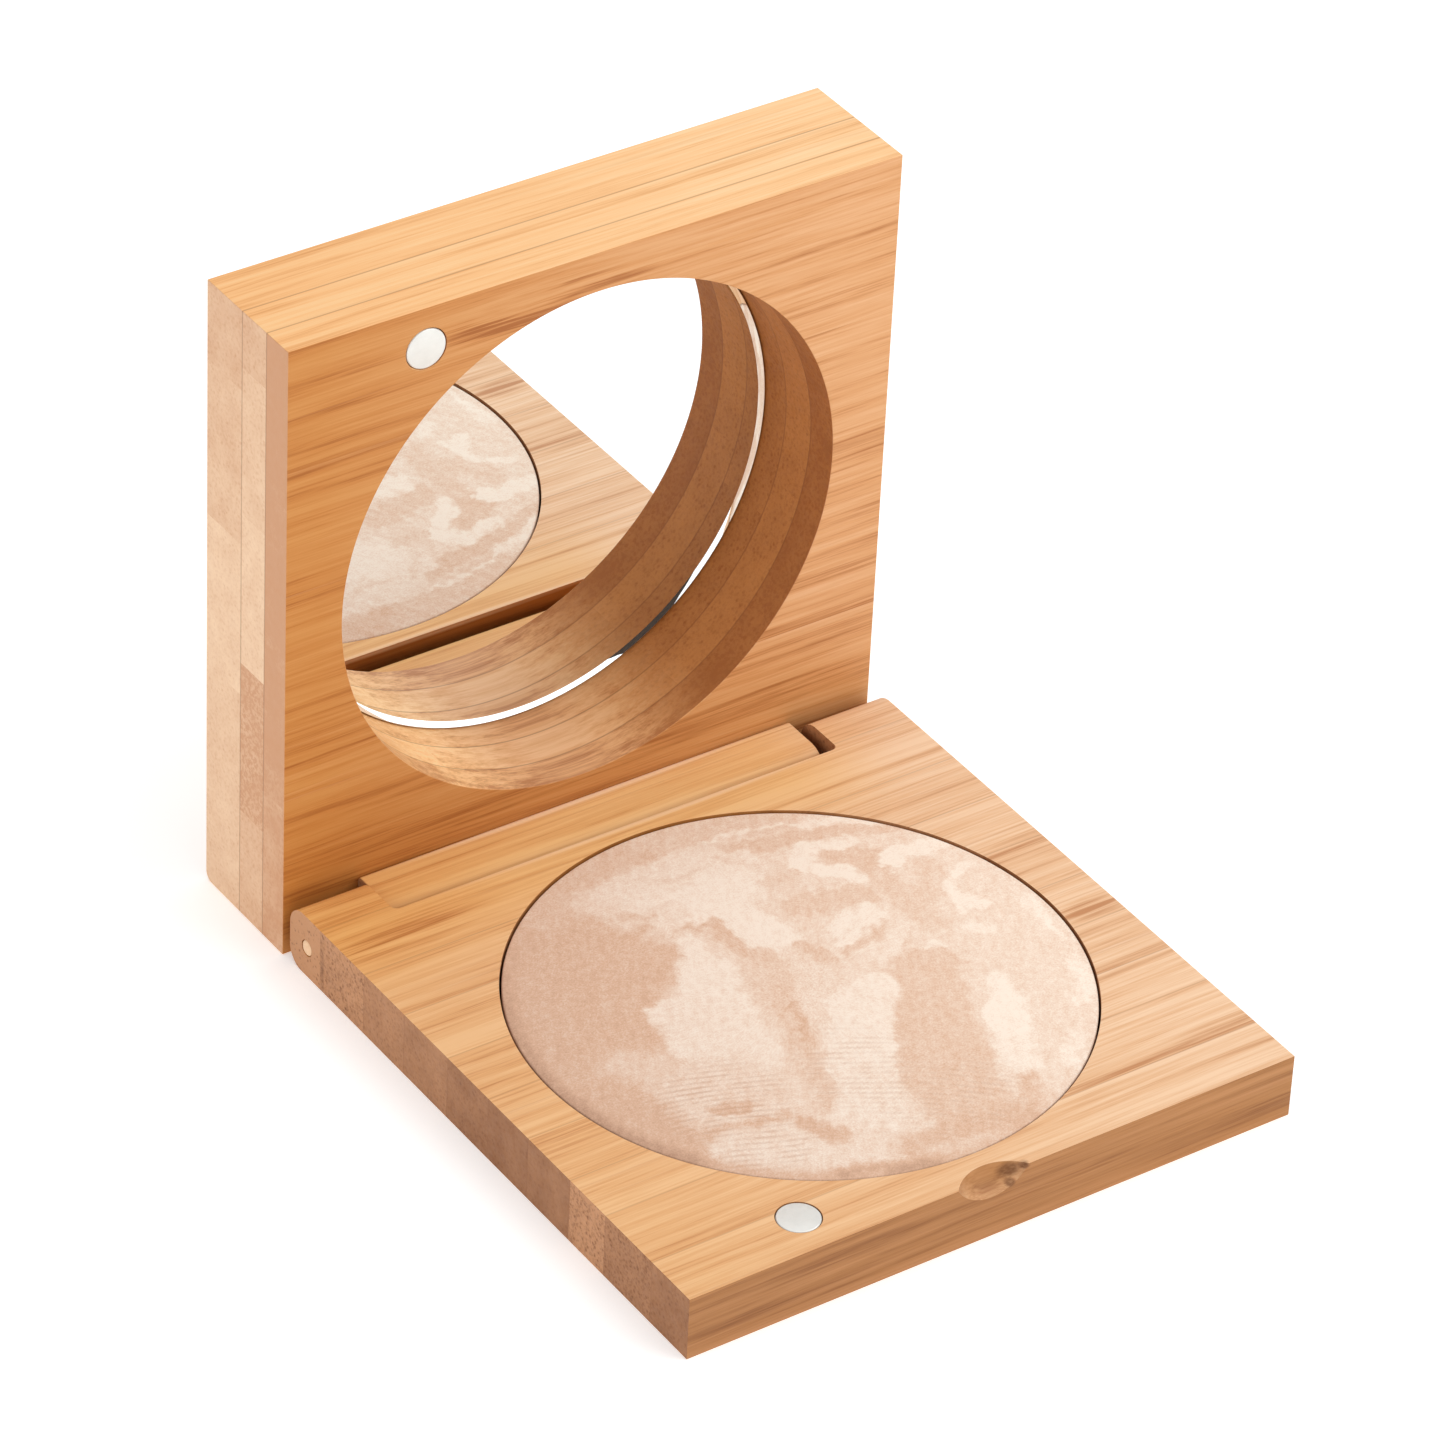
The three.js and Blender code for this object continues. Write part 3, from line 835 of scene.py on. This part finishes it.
def make_lid():
    board = lid_board()
    for index, node in enumerate(LID_STRIPS):
        ply, number = node.split("_strip_")
        end_tone = LID_END_TONES[ply][int(number[0]) - 1]
        pores = POROUS_LID_PORES if node.startswith(POROUS_LID_STRIP) else LID_PORES
        strip = sawn(board, node, (Y, Z), (LID_LOW, LID_HIGH), node + "_fine")
        seed = LID_FIRST_SEED + LID_SEED_STEP * index
        mark(strip, lid_tone(index), seed, pores, end_tone, node, (LID_LOW, LID_HIGH))
        strip["wall_tone"] = LID_WALL_TONES[ply]
        give(strip, node, "lid", LID_BAMBOO)
    discard(board)
    bar = tongue()
    mark(bar, tone=0.0, seed=4.3, pores=0.5)
    give(bar, "hinge_tongue", "lid", BASE_BAMBOO)


# ---- hinge pins, magnets, pan, glue ----


def make_pins():
    for node in ("hinge_pin_left", "hinge_pin_right"):
        low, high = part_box(node)
        rounding = 0.15 * MM
        profile = [
            (0, low.x),
            (PIN_RADIUS - rounding, low.x),
            (PIN_RADIUS, low.x + rounding),
            (PIN_RADIUS, high.x - rounding),
            (PIN_RADIUS - rounding, high.x),
            (0, high.x),
        ]
        pin = lathe(node + "_fine", profile, PIN, X, 64)
        shade(pin, 50)
        mark(pin, tone=0.0, seed=5.1, pores=0.2, end_tone=0.2)
        give(pin, node, "base", PIN_BAMBOO)


def patterned(name, stretch, detail, tones, dullness, relief=None, metallic=1.0):
    """A finish with one pattern, as (x, y, z) repeats to the metre: its two tones, its roughness (from, to,
    least, most) and its relief (height, strength) all follow it."""
    shader = Shader(name)
    pattern = shader.noise(shader.vector("MULTIPLY", shader.place, stretch), detail=detail)
    colour = shader.mix(pattern, *tones)
    normal = shader.bump(pattern, *relief) if relief else None
    return shader.finish(colour, shader.spread(pattern, *dullness), normal, {"Metallic": metallic})


def plating():
    shader = Shader("nickel plating")
    cloud = shader.noise(shader.place, scale=900.0, detail=3.0)
    stretched = shader.vector("MULTIPLY", shader.place, (300.0, 4500.0, 4500.0))
    scratches = shader.noise(stretched, detail=2.0)
    colour = shader.mix(cloud, srgb(222, 222, 217), srgb(236, 236, 232))
    roughness = shader.spread(scratches, 0.25, 0.75, 0.42, 0.58)
    normal = shader.bump(scratches, 0.01 * MM, 0.4)
    return shader.finish(colour, roughness, normal, {"Metallic": 0.5})


def make_magnets():
    material = plating()
    for node, body, axis in (("base_magnet", "base", Z), ("lid_magnet", "lid", Y)):
        low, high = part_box(node)
        radius = (high.x - low.x) / 2
        rounding = 0.18 * MM
        profile = [(0, low[axis])]
        for end, inward in ((low[axis], 1), (high[axis], -1)):
            for turn in quarter_turn()[::inward]:
                across = radius - rounding * (1 - math.sin(turn))
                profile.append((across, end + inward * rounding * (1 - math.cos(turn))))
        profile.append((0, high[axis]))
        piece = lathe(node + "_fine", profile, middle(node), axis, 128)
        shade(piece, 30)
        give(piece, node, body, material)


def make_pan():
    low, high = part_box("powder_pan")
    radius = (high.x - low.x) / 2
    corner = 0.35 * MM
    lip = PAN_WALL / 2
    profile = [(0, low.z)]
    profile += [
        (radius - corner * (1 - math.sin(turn)), low.z + corner * (1 - math.cos(turn)))
        for turn in quarter_turn()
    ]
    profile += [
        (radius - lip + lip * math.cos(turn), high.z - lip + lip * math.sin(turn))
        for turn in (math.pi * step / 8 for step in range(9))
    ]
    profile += [(radius - PAN_WALL, low.z + PAN_WALL), (0, low.z + PAN_WALL)]
    pan = lathe("powder_pan_fine", profile, CAKE, Z)
    shade(pan, 40)
    tones = (srgb(182, 184, 186), srgb(206, 207, 208))
    drawn = (400.0, 400.0, 9000.0)
    tin = patterned("pan tin", drawn, 2.0, tones, (0.2, 0.8, 0.3, 0.45), (0.01 * MM, 0.5))
    give(pan, "powder_pan", "base", tin)


def squeezed_disc(name, node, axis, seed):
    """A disc of glue pressed flat, with a wavy edge inside its CAD disc."""
    low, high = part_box(node)
    centre = middle(node)
    across = ((axis + 1) % 3, (axis + 2) % 3)
    radius = (high[across[0]] - low[across[0]]) / 2
    steps = 192
    wave_depth = 0.06
    layers = ((0.0, 0), (0.97, 0), (1.0, 0.5), (0.97, 1), (0.0, 1))
    vertices = []
    rings = []
    for share, height in layers:
        count = steps if share else 1
        rings.append(range(len(vertices), len(vertices) + count))
        for step in range(count):
            angle = 2 * math.pi * step / steps
            wave = noise.noise(Vector((2 * math.cos(angle), 2 * math.sin(angle), seed)))
            distance = radius * share * (1 - wave_depth * (0.5 + wave))
            point = centre.copy()
            point[axis] = low[axis] + height * (high[axis] - low[axis])
            point[across[0]] += distance * math.cos(angle)
            point[across[1]] += distance * math.sin(angle)
            vertices.append(point)
    return new_object(name, vertices, ring_faces(rings, steps))


def make_glue():
    tones = (srgb(206, 200, 184), srgb(226, 222, 208))
    cloud = (260.0, 260.0, 260.0)
    relief = (0.1 * MM, 0.6)
    cured = patterned("cured glue", cloud, 3.0, tones, (0.2, 0.8, 0.55, 0.8), relief, metallic=0.0)
    for node, body, axis, seed in (("powder_pan_glue", "base", Z, 1.3), ("mirror_glue", "lid", Y, 7.7)):
        disc = squeezed_disc(node + "_fine", node, axis, seed)
        shade(disc, 60)
        give(disc, node, body, cured)


# ---- mirror ----


BEVEL_FACETS = 4
BEVEL_CURVE = 0.12  # share of the bevel's slope that grows inwards


def make_mirror():
    low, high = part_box("mirror_glass")
    radius = (high.x - low.x) / 2
    bevel_width = 0.95 * MM
    bevel_drop = 0.46 * MM
    step = 0.05 * MM
    profile = [
        (0, high.y),
        (radius - step, high.y),
        (radius, high.y - step),
        (radius, low.y + step),
        (radius - step, low.y + step),
    ]
    for facet in range(1, BEVEL_FACETS + 1):
        share = facet / BEVEL_FACETS
        sunk = (1 - BEVEL_CURVE) * share + BEVEL_CURVE * share**2
        inward = step + share * (bevel_width - 2 * step)
        profile.append((radius - inward, low.y + step + sunk * (bevel_drop - step)))
    profile += [(radius - bevel_width, low.y), (0, low.y)]
    glass = lathe("mirror_glass_fine", profile, GLASS, Y, 384)
    shade(glass, 15)
    tones = (srgb(244, 248, 249), srgb(248, 251, 252))
    material = patterned("mirror", (60.0, 60.0, 60.0), 3.0, tones, (0.3, 0.7, 0.004, 0.012))
    give(glass, "mirror_glass", "lid", material)


def make_silvering():
    low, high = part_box("mirror_silver_backing")
    radius = (high.x - low.x) / 2
    edge = 0.02 * MM
    profile = [(0, low.y), (radius - edge, low.y), (radius, low.y + edge)]
    profile += [(radius, high.y), (0, high.y)]
    film = lathe("mirror_silver_backing_fine", profile, middle("mirror_silver_backing"), Y)
    shade(film, 30)
    tones = (srgb(196, 198, 200), srgb(216, 217, 218))
    material = patterned("silvering", (120.0, 120.0, 120.0), 4.0, tones, (0.3, 0.7, 0.25, 0.4))
    give(film, "mirror_silver_backing", "lid", material)


# ---- powder ----

RIDGE_PITCH = 0.85 * MM
RIDGE_ORIGIN = Vector((-47, -90, 0))  # mm from the cake's centre: the pressed lines bend around it
# Where the lines are still sharp: centre and half sizes in mm from the cake's centre, and strength.
RIDGE_PATCHES = [
    ((-19, -12), (9, 8), 1.0),
    ((-3, -15), (8, 10), 0.6),
    ((3, -25), (11, 8), 0.6),
    ((-18, -21), (8, 5), 0.8),
]
RIDGE_HEIGHT = 0.018 * MM
CAKE_RINGS = 132
CAKE_STEPS = 640
CAKE_SHOULDER = 0.25 * MM  # width of the rounded rim
CAKE_SHOULDER_STEPS = 5
CAKE_RIM_DROP = 0.12 * MM  # the rim, below the bamboo
CAKE_SWELL = 0.04 * MM  # the cake swells a little past its CAD solid, which leaves a finer gap

# Marbling, painted in order on the cake: from, to, radius and softness in mm from the cake's centre, and
# the tone: 0 for cream, 1 for tan, 2 for a dark brown that specks and the painted rim shade reach.
STROKES = [
    # the tan side, the tan top, and the paler ground between them
    ((-8, 12), (-14, -6), 9.0, 5.0, 0.5),
    ((-22, 22), (-30, -2), 11.5, 3.5, 0.95),
    ((-18, 14), (-20, 8), 6.0, 3.0, 0.95),
    ((-12, 12), (-15, 16), 4.5, 2.0, 0.92),
    ((-16, 27), (2, 32), 4.2, 1.6, 0.8),
    ((2, 32), (16, 28.5), 3.2, 1.4, 0.66),
    ((-31, -8), (-27, -16), 4.0, 5.0, 1.0),
    ((-24, -2), (-21, -3), 2.6, 3.6, 0.62),
    # the upper cream patch and its tongue
    ((-11.5, 25), (-8.5, 20), 2.0, 2.4, 0.45),
    ((-9, 26), (3, 26.6), 1.6, 1.2, 0.34),
    ((-6, 22), (6, 23), 3.4, 2.0, 0.26),
    ((-2, 19), (4, 19), 3.6, 1.4, 0.12),
    ((1, 18), (3, 9), 2.7, 1.0, 0.08),
    ((-6.5, 17.6), (-4, 19), 1.4, 1.2, 0.3),
    ((-10, 21.6), (-6.4, 19.6), 0.7, 1.2, 0.7),
    ((-11.4, 17.4), (-8.6, 18.6), 0.8, 1.4, 0.9),
    ((-13.4, 23), (-12.6, 20.6), 0.7, 1.4, 0.8),
    ((-4, 25), (2, 23.6), 0.5, 1.2, 0.5),
    ((4.4, 25), (8, 21.4), 0.4, 1.0, 0.45),
    # tan gaps on the right of that patch, and the thin cream lines above them
    ((8, 25.6), (10.5, 24.6), 1.1, 1.0, 0.75),
    ((11, 24.4), (20, 22.8), 1.3, 0.8, 0.75),
    ((20, 22.8), (26, 19.4), 0.8, 0.8, 0.7),
    ((8.5, 17.6), (10.5, 18), 1.5, 1.6, 0.6),
    ((6, 28.4), (14, 26.9), 0.3, 0.6, 0.2),
    ((14, 26.9), (21, 23.9), 0.35, 0.6, 0.15),
    ((21, 24.6), (26.5, 20.6), 0.6, 0.7, 0.08),
    # the large left cream patch
    ((-6.2, 13), (-7.4, 9), 1.5, 1.2, 0.15),
    ((-8, 8), (-9.5, 1), 3.4, 1.2, 0.14),
    ((-14, 2), (-15, 3), 3.2, 1.2, 0.18),
    ((-13, 0), (-12, -5), 5.4, 1.8, 0.24),
    ((-20.5, -8), (-14, -9), 3.4, 4.0, 0.45),
    # the tan arch and its darker edge
    ((-5, 15.8), (-2.4, 14.4), 0.5, 0.7, 0.85),
    ((-2.4, 14.4), (-1.5, 11), 0.8, 0.8, 0.85),
    ((-1.6, 11), (-1, 6), 1.0, 1.2, 0.82),
    ((-0.6, 6), (-1.4, 2), 1.9, 1.6, 0.66),
    ((-3, 4), (-3.6, -1), 1.6, 2.0, 0.6),
    ((-2.4, 0), (-4.8, -8), 1.5, 1.4, 0.72),
    ((-1.8, -1.6), (-4.4, -9), 0.4, 0.6, 0.95),
    ((-5.6, -9), (-9.6, -18), 1.5, 2.2, 0.68),
    # right of the arch
    ((4.6, 5.8), (5.8, 3), 1.3, 0.9, 0.72),
    ((9, 12.6), (16, 10.4), 1.9, 1.0, 0.66),
    ((18, 18), (20.4, 15), 2.4, 1.2, 0.72),
    ((20, 12), (19.4, 2), 1.7, 1.4, 0.62),
    ((26, 11.6), (22, 7), 1.6, 1.0, 0.6),
    # the cream patch with slanting tan streaks
    ((10, 7), (15, 7.2), 1.5, 0.8, 0.08),
    ((9.4, 4), (11, 6), 1.1, 0.8, 0.1),
    ((12, 0.4), (16, 3), 2.0, 1.6, 0.25),
    ((9, 2), (14.8, 5.2), 0.5, 0.8, 0.72),
    ((13, -1.6), (17, 2.6), 0.35, 0.7, 0.6),
    ((17.4, -2.4), (17.2, -1.6), 0.9, 0.7, 0.02),
    # the cream column and the tan band beside it
    ((14, -4.6), (8.5, -14), 4.2, 1.2, 0.7),
    ((8, -14), (4, -26), 5.4, 1.6, 0.74),
    ((6, -3.6), (8, -4.4), 1.9, 0.8, 0.12),
    ((4, -5.4), (-3.4, -17), 3.6, 0.8, 0.14),
    ((-3.4, -17), (-6, -22), 3.6, 1.0, 0.24),
    # pale crescents on the right
    ((12.8, 19.2), (15.2, 21), 1.2, 0.6, 0.0),
    ((15.2, 21), (21, 20.2), 0.8, 0.7, 0.06),
    ((13.2, 17.8), (15.4, 15.4), 1.3, 0.6, 0.0),
    ((15.4, 15.4), (17.5, 12.8), 0.7, 0.6, 0.02),
    ((22.4, 14.4), (24.4, 15), 1.6, 0.7, 0.02),
    ((24.4, 15), (29, 14.8), 1.3, 0.7, 0.06),
    ((29, 9.6), (25.4, 7), 0.6, 0.7, 0.05),
    ((25.4, 7), (23.6, 3), 0.8, 0.7, 0.04),
    ((25.6, 3.6), (26.4, 2.6), 1.2, 0.8, 0.04),
    ((22.6, -0.4), (24.4, -1.6), 0.9, 1.0, 0.1),
    ((32, 1), (31, -7), 0.6, 1.0, 0.05),
    ((29, -12), (26, -18), 0.9, 1.2, 0.1),
    ((19.6, -10), (18.6, -13), 1.5, 1.2, 0.0),
    ((17.6, -14), (15.6, -19), 2.2, 1.0, 0.0),
    ((14.6, -20), (14, -23.4), 2.2, 1.6, 0.12),
    ((21, -23), (18, -26), 1.0, 1.4, 0.15),
    # darker patches along the lower rim; the darkest, at the very edge, is painted shade
    ((-19.4, -13), (-16, -14.4), 0.9, 0.8, 0.95),
    ((-24, -15.6), (-14, -18), 0.8, 1.6, 0.9),
    ((-12.6, -20), (-11, -22.6), 1.4, 1.4, 0.95),
    ((-23.6, -18.6), (-14, -24.4), 1.3, 1.2, 0.3),
    ((-9, -24), (-6.4, -25.6), 0.9, 1.2, 0.4),
    # painted shade on the rim's rounded edge
    ((-14, -28.4), (-5, -31.8), 0.6, 3.0, 1.2),
    ((13, -26), (11, -28.4), 1.1, 1.6, 0.85),
    ((-5, -29), (9, -29.6), 2.0, 3.0, 0.88),
]
GROUND_TONE = 0.4
# What drags the marbling about: repeats to the mm, and the reach in mm.
SWIRLS = [(0.2, 1.1), (0.7, 0.8), (1.7, 0.36), (4.0, 0.2)]
SWIRL_SEED = 1794959441  # without one, Blender seeds its vector noise from the clock
CREAM = srgb(251, 236, 223)
TAN = srgb(226, 187, 161)
DARK_SPECK_AND_SHADE_BROWN = srgb(186, 146, 122)


def marbling(places):
    """The painted tone at each of the places, in mm from the cake's centre. The strokes are swirled."""
    noise.seed_set(SWIRL_SEED)
    swirled = []
    for x, y in places:
        place = Vector((x, y, 0))
        for scale, reach in SWIRLS:
            place += reach * noise.noise_vector(Vector((x, y, 3)) * scale)
        swirled.append((place.x, place.y))
    swirled = numpy.array(swirled)
    tone = numpy.full(len(swirled), GROUND_TONE)
    for start, end, radius, softness, value in STROKES:
        reach = numpy.subtract(end, start)
        offset = swirled - start
        along = numpy.clip(offset @ reach / (reach @ reach), 0.0, 1.0)
        distance = numpy.linalg.norm(offset - along[:, None] * reach, axis=1)
        share = numpy.clip((radius + softness / 2 - distance) / softness, 0.0, 1.0)
        tone += share * share * (3 - 2 * share) * (value - tone)
    return tone


def powder_material():
    shader = Shader("marbled powder")
    from_centre = shader.vector("SUBTRACT", shader.place, (CAKE.x, CAKE.y, CAKE.z))
    flat = shader.vector("MULTIPLY", from_centre, (1 / MM, 1 / MM, 0.0))
    tone = shader.attribute("marbling")

    # painted shade on the rim's lower left, where its rounded edge faces away from the light
    rim = shader.spread(shader.vector("LENGTH", flat), 30.6, 32.8)
    lower_left = shader.spread(shader.vector("DOT_PRODUCT", flat, (-0.8, -0.6, 0.0)), 0.0, 24.0)
    painted_rim_shade = shader.times(rim, lower_left)
    tone = shader.math("MULTIPLY_ADD", painted_rim_shade, 0.6, tone)

    # veins drawn out along the swirl, then dust and grit
    drawn = shader.vector("DOT_PRODUCT", flat, (0.5, 0.87, 0.0))
    crossed = shader.vector("DOT_PRODUCT", flat, (-0.87, 0.5, 0.0))
    drawn = shader.together(shader.times(drawn, 0.25), crossed, 0.0)
    veins = shader.noise(drawn, scale=0.9, detail=5.0, roughness=0.65)
    dust = shader.noise(flat, scale=1.1, detail=5.0, roughness=0.75)
    grit = shader.noise(flat, scale=4.5, detail=3.0, roughness=0.8)
    tone = shader.sway(tone, veins, 0.7)
    tone = shader.sway(tone, dust, 1.3)
    tone = shader.sway(tone, grit, 1.7)
    marbled = shader.mix(shader.spread(tone, 0.0, 1.0, smooth=False), CREAM, TAN)
    # tones above 1 reach the dark brown: specks, and the painted rim shade
    marbled = shader.mix(shader.spread(tone, 1.0, 2.0, smooth=False), marbled, DARK_SPECK_AND_SHADE_BROWN)

    # painted light: warmer and paler towards the right, where the light comes from, duller towards the left
    across = shader.spread(shader.parts(flat)[X], -30.0, 30.0, smooth=False)
    tint = shader.mix(across, srgb(241, 239, 236), srgb(255, 255, 251))
    colour = shader.mix(1.0, marbled, tint, "MULTIPLY")
    # painted shade in the grooves of the pressed lines
    groove = shader.attribute("groove")
    colour = shader.mix(shader.times(groove, 0.5), colour, srgb(196, 156, 130))
    height = shader.math("MULTIPLY_ADD", grit, 0.7, shader.times(dust, 0.5))
    normal = shader.bump(height, 0.05 * MM, 0.7)
    roughness = shader.spread(grit, 0.2, 0.8, 0.82, 0.95)
    return shader.finish(colour, roughness, normal, {"Specular IOR Level": 0.2})


def ridge(x, y):
    """The pressed lines at a place from the cake's centre: -1 in a groove, 1 on a ridge, 0 where they have
    rubbed away. They are arcs around a far point."""
    place = Vector((x, y, 0)) / MM
    bend = 0.4 * noise.noise(place / 9)
    turns = ((place - RIDGE_ORIGIN).length + bend) * MM / RIDGE_PITCH
    kept = 0.0
    for centre, reach, strength in RIDGE_PATCHES:
        away = Vector(((place.x - centre[0]) / reach[0], (place.y - centre[1]) / reach[1])).length
        kept = max(kept, strength * min(max(2.4 * (1 - away), 0.0), 1.0))
    patchy = 0.75 + 1.1 * noise.noise(place / 2.6) + 0.9 * noise.noise(place / 0.7)
    return math.sin(2 * math.pi * turns) * kept * min(max(patchy, 0.0), 1.2)


def make_powder():
    low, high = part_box("powder_cake")
    pan_low, pan_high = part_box("powder_pan")
    radius = (high.x - low.x) / 2 + CAKE_SWELL
    in_pan = (pan_high.x - pan_low.x) / 2 - PAN_WALL
    shoulder = BASE_HIGH.z - CAKE_RIM_DROP
    crown = high.z - RIDGE_HEIGHT

    vertices = [Vector((CAKE.x, CAKE.y, low.z))]
    groove_shade = [0.0]
    places = [(0.0, 0.0)]
    rings = [range(0, 1)]

    def add_ring(distance, height, pressed):
        first = len(vertices)
        for step in range(CAKE_STEPS):
            angle = 2 * math.pi * step / CAKE_STEPS
            x = distance * math.cos(angle)
            y = distance * math.sin(angle)
            line = ridge(x, y) if pressed else 0.0
            vertices.append(Vector((CAKE.x + x, CAKE.y + y, height + RIDGE_HEIGHT * line)))
            groove_shade.append(max(-line, 0.0))
            places.append((x / MM, y / MM))
        rings.append(range(first, first + CAKE_STEPS))

    add_ring(in_pan, low.z, False)
    add_ring(in_pan, pan_high.z, False)
    add_ring(radius, pan_high.z, False)
    add_ring(radius, shoulder - CAKE_SHOULDER, False)
    for turn in quarter_turn(CAKE_SHOULDER_STEPS)[1:]:
        distance = radius - CAKE_SHOULDER * (1 - math.cos(turn))
        add_ring(distance, shoulder - CAKE_SHOULDER * (1 - math.sin(turn)), False)
    top_radius = radius - CAKE_SHOULDER
    for ring in range(1, CAKE_RINGS):
        distance = top_radius * (1 - ring / CAKE_RINGS)
        rise = 1 - (distance / top_radius) ** 4
        add_ring(distance, shoulder + (crown - shoulder) * rise, True)
    vertices.append(Vector((CAKE.x, CAKE.y, crown)))
    groove_shade.append(0.0)
    places.append((0.0, 0.0))
    rings.append(range(len(vertices) - 1, len(vertices)))

    cake = new_object("powder_cake_fine", vertices, ring_faces(rings, CAKE_STEPS))
    for name, values in (("groove", groove_shade), ("marbling", marbling(places))):
        cake.data.attributes.new(name, "FLOAT", "POINT").data.foreach_set("value", values)
    shade(cake, 50)
    give(cake, "powder_cake", "base", powder_material())


# ---- studio ----


def make_floor():
    reach = 1.6
    corners = [(-reach, -reach, 0), (reach, -reach, 0), (reach, reach, 0), (-reach, reach, 0)]
    floor = new_object("floor", corners, [[0, 1, 2, 3]])
    floor.location.z = -0.05 * MM  # just clear of the underside
    shader = Shader("white card")
    fleck = shader.noise(shader.place, scale=40.0, detail=2.0)
    colour = shader.mix(fleck, (0.93, 0.93, 0.93, 1.0), (0.95, 0.95, 0.95, 1.0))
    lit_through = {"Specular IOR Level": 0.1, "Emission Color": (1, 1, 1, 1), "Emission Strength": 0.3}
    floor.data.materials.append(shader.finish(colour, 0.9, settings=lit_through))


def make_flag():
    """A dark card in front of the open mirror. Only reflections see it: it breaks the bevel's white line."""
    left, right = -0.5, 0.2
    ahead = -1.2
    top = 0.26
    corners = [(left, ahead, 0), (right, ahead, 0), (right, ahead, top), (left, ahead, top)]
    flag = new_object("flag", corners, [[0, 1, 2, 3]])
    flag.visible_camera = False
    flag.visible_diffuse = False
    flag.visible_shadow = False
    shader = Shader("black card")
    nap = shader.noise(shader.place, scale=60.0, detail=2.0)
    colour = shader.mix(nap, srgb(52, 40, 32), srgb(70, 56, 46))
    flag.data.materials.append(shader.finish(colour, 0.9))


def soft_light(name, place, target, size, power):
    light = bpy.data.lights.new(name, "AREA")
    light.shape = "RECTANGLE"
    light.size, light.size_y = size
    light.energy = power
    lamp = bpy.data.objects.new(name, light)
    lamp.location = place
    lamp.rotation_euler = (Vector(target) - Vector(place)).to_track_quat("-Z", "Y").to_euler()
    bpy.context.scene.collection.objects.link(lamp)


def make_lights():
    world = bpy.data.worlds.new("studio")
    world.use_nodes = True
    background = world.node_tree.nodes["Background"]
    background.inputs["Color"].default_value = (1.0, 1.0, 1.0, 1.0)
    background.inputs["Strength"].default_value = 0.58
    bpy.context.scene.world = world
    soft_light("top", (0.1, 0.1, 0.9), (0, 0, 0.02), (0.9, 0.9), 2.4)
    soft_light("right key", (0.6, -0.5, 0.66), (0, 0, 0.03), (0.8, 0.8), 4.0)
    soft_light("low front card", (0.6, -1.1, 0.15), (0, 0, 0.04), (1.6, 0.3), 1.65)
    soft_light("left fill", (-0.8, -0.15, 0.3), (0, 0, 0.04), (0.5, 0.5), 1.5)


def make_camera():
    """A long lens from the front left and above, with the picture turned a little."""
    azimuth = math.radians(-35.66)
    elevation = math.radians(35.743)
    roll = math.radians(2.941)
    target = Vector((-10.74, -9.2, 47.3)) * MM
    distance = 808.06 * MM
    level_back = Vector((math.sin(azimuth), -math.cos(azimuth), 0))
    back = level_back * math.cos(elevation) + Vector((0, 0, math.sin(elevation)))
    level_right = Vector((math.cos(azimuth), math.sin(azimuth), 0))
    level_up = back.cross(level_right)
    right = level_right * math.cos(roll) + level_up * math.sin(roll)
    up = level_up * math.cos(roll) - level_right * math.sin(roll)
    data = bpy.data.cameras.new("camera")
    data.sensor_width = 36.0
    data.lens = 187.91
    data.clip_end = 20.0
    camera = bpy.data.objects.new("camera", data)
    placed = Matrix((right, up, back)).transposed().to_4x4()
    placed.translation = target + back * distance
    camera.matrix_world = placed
    bpy.context.scene.collection.objects.link(camera)
    bpy.context.scene.camera = camera


make_camera()
make_floor()
make_flag()
make_lights()
make_base()
make_lid()
make_pins()
make_magnets()
make_pan()
make_glue()
make_mirror()
make_silvering()
make_powder()
bpy.context.scene.view_settings.view_transform = "Standard"
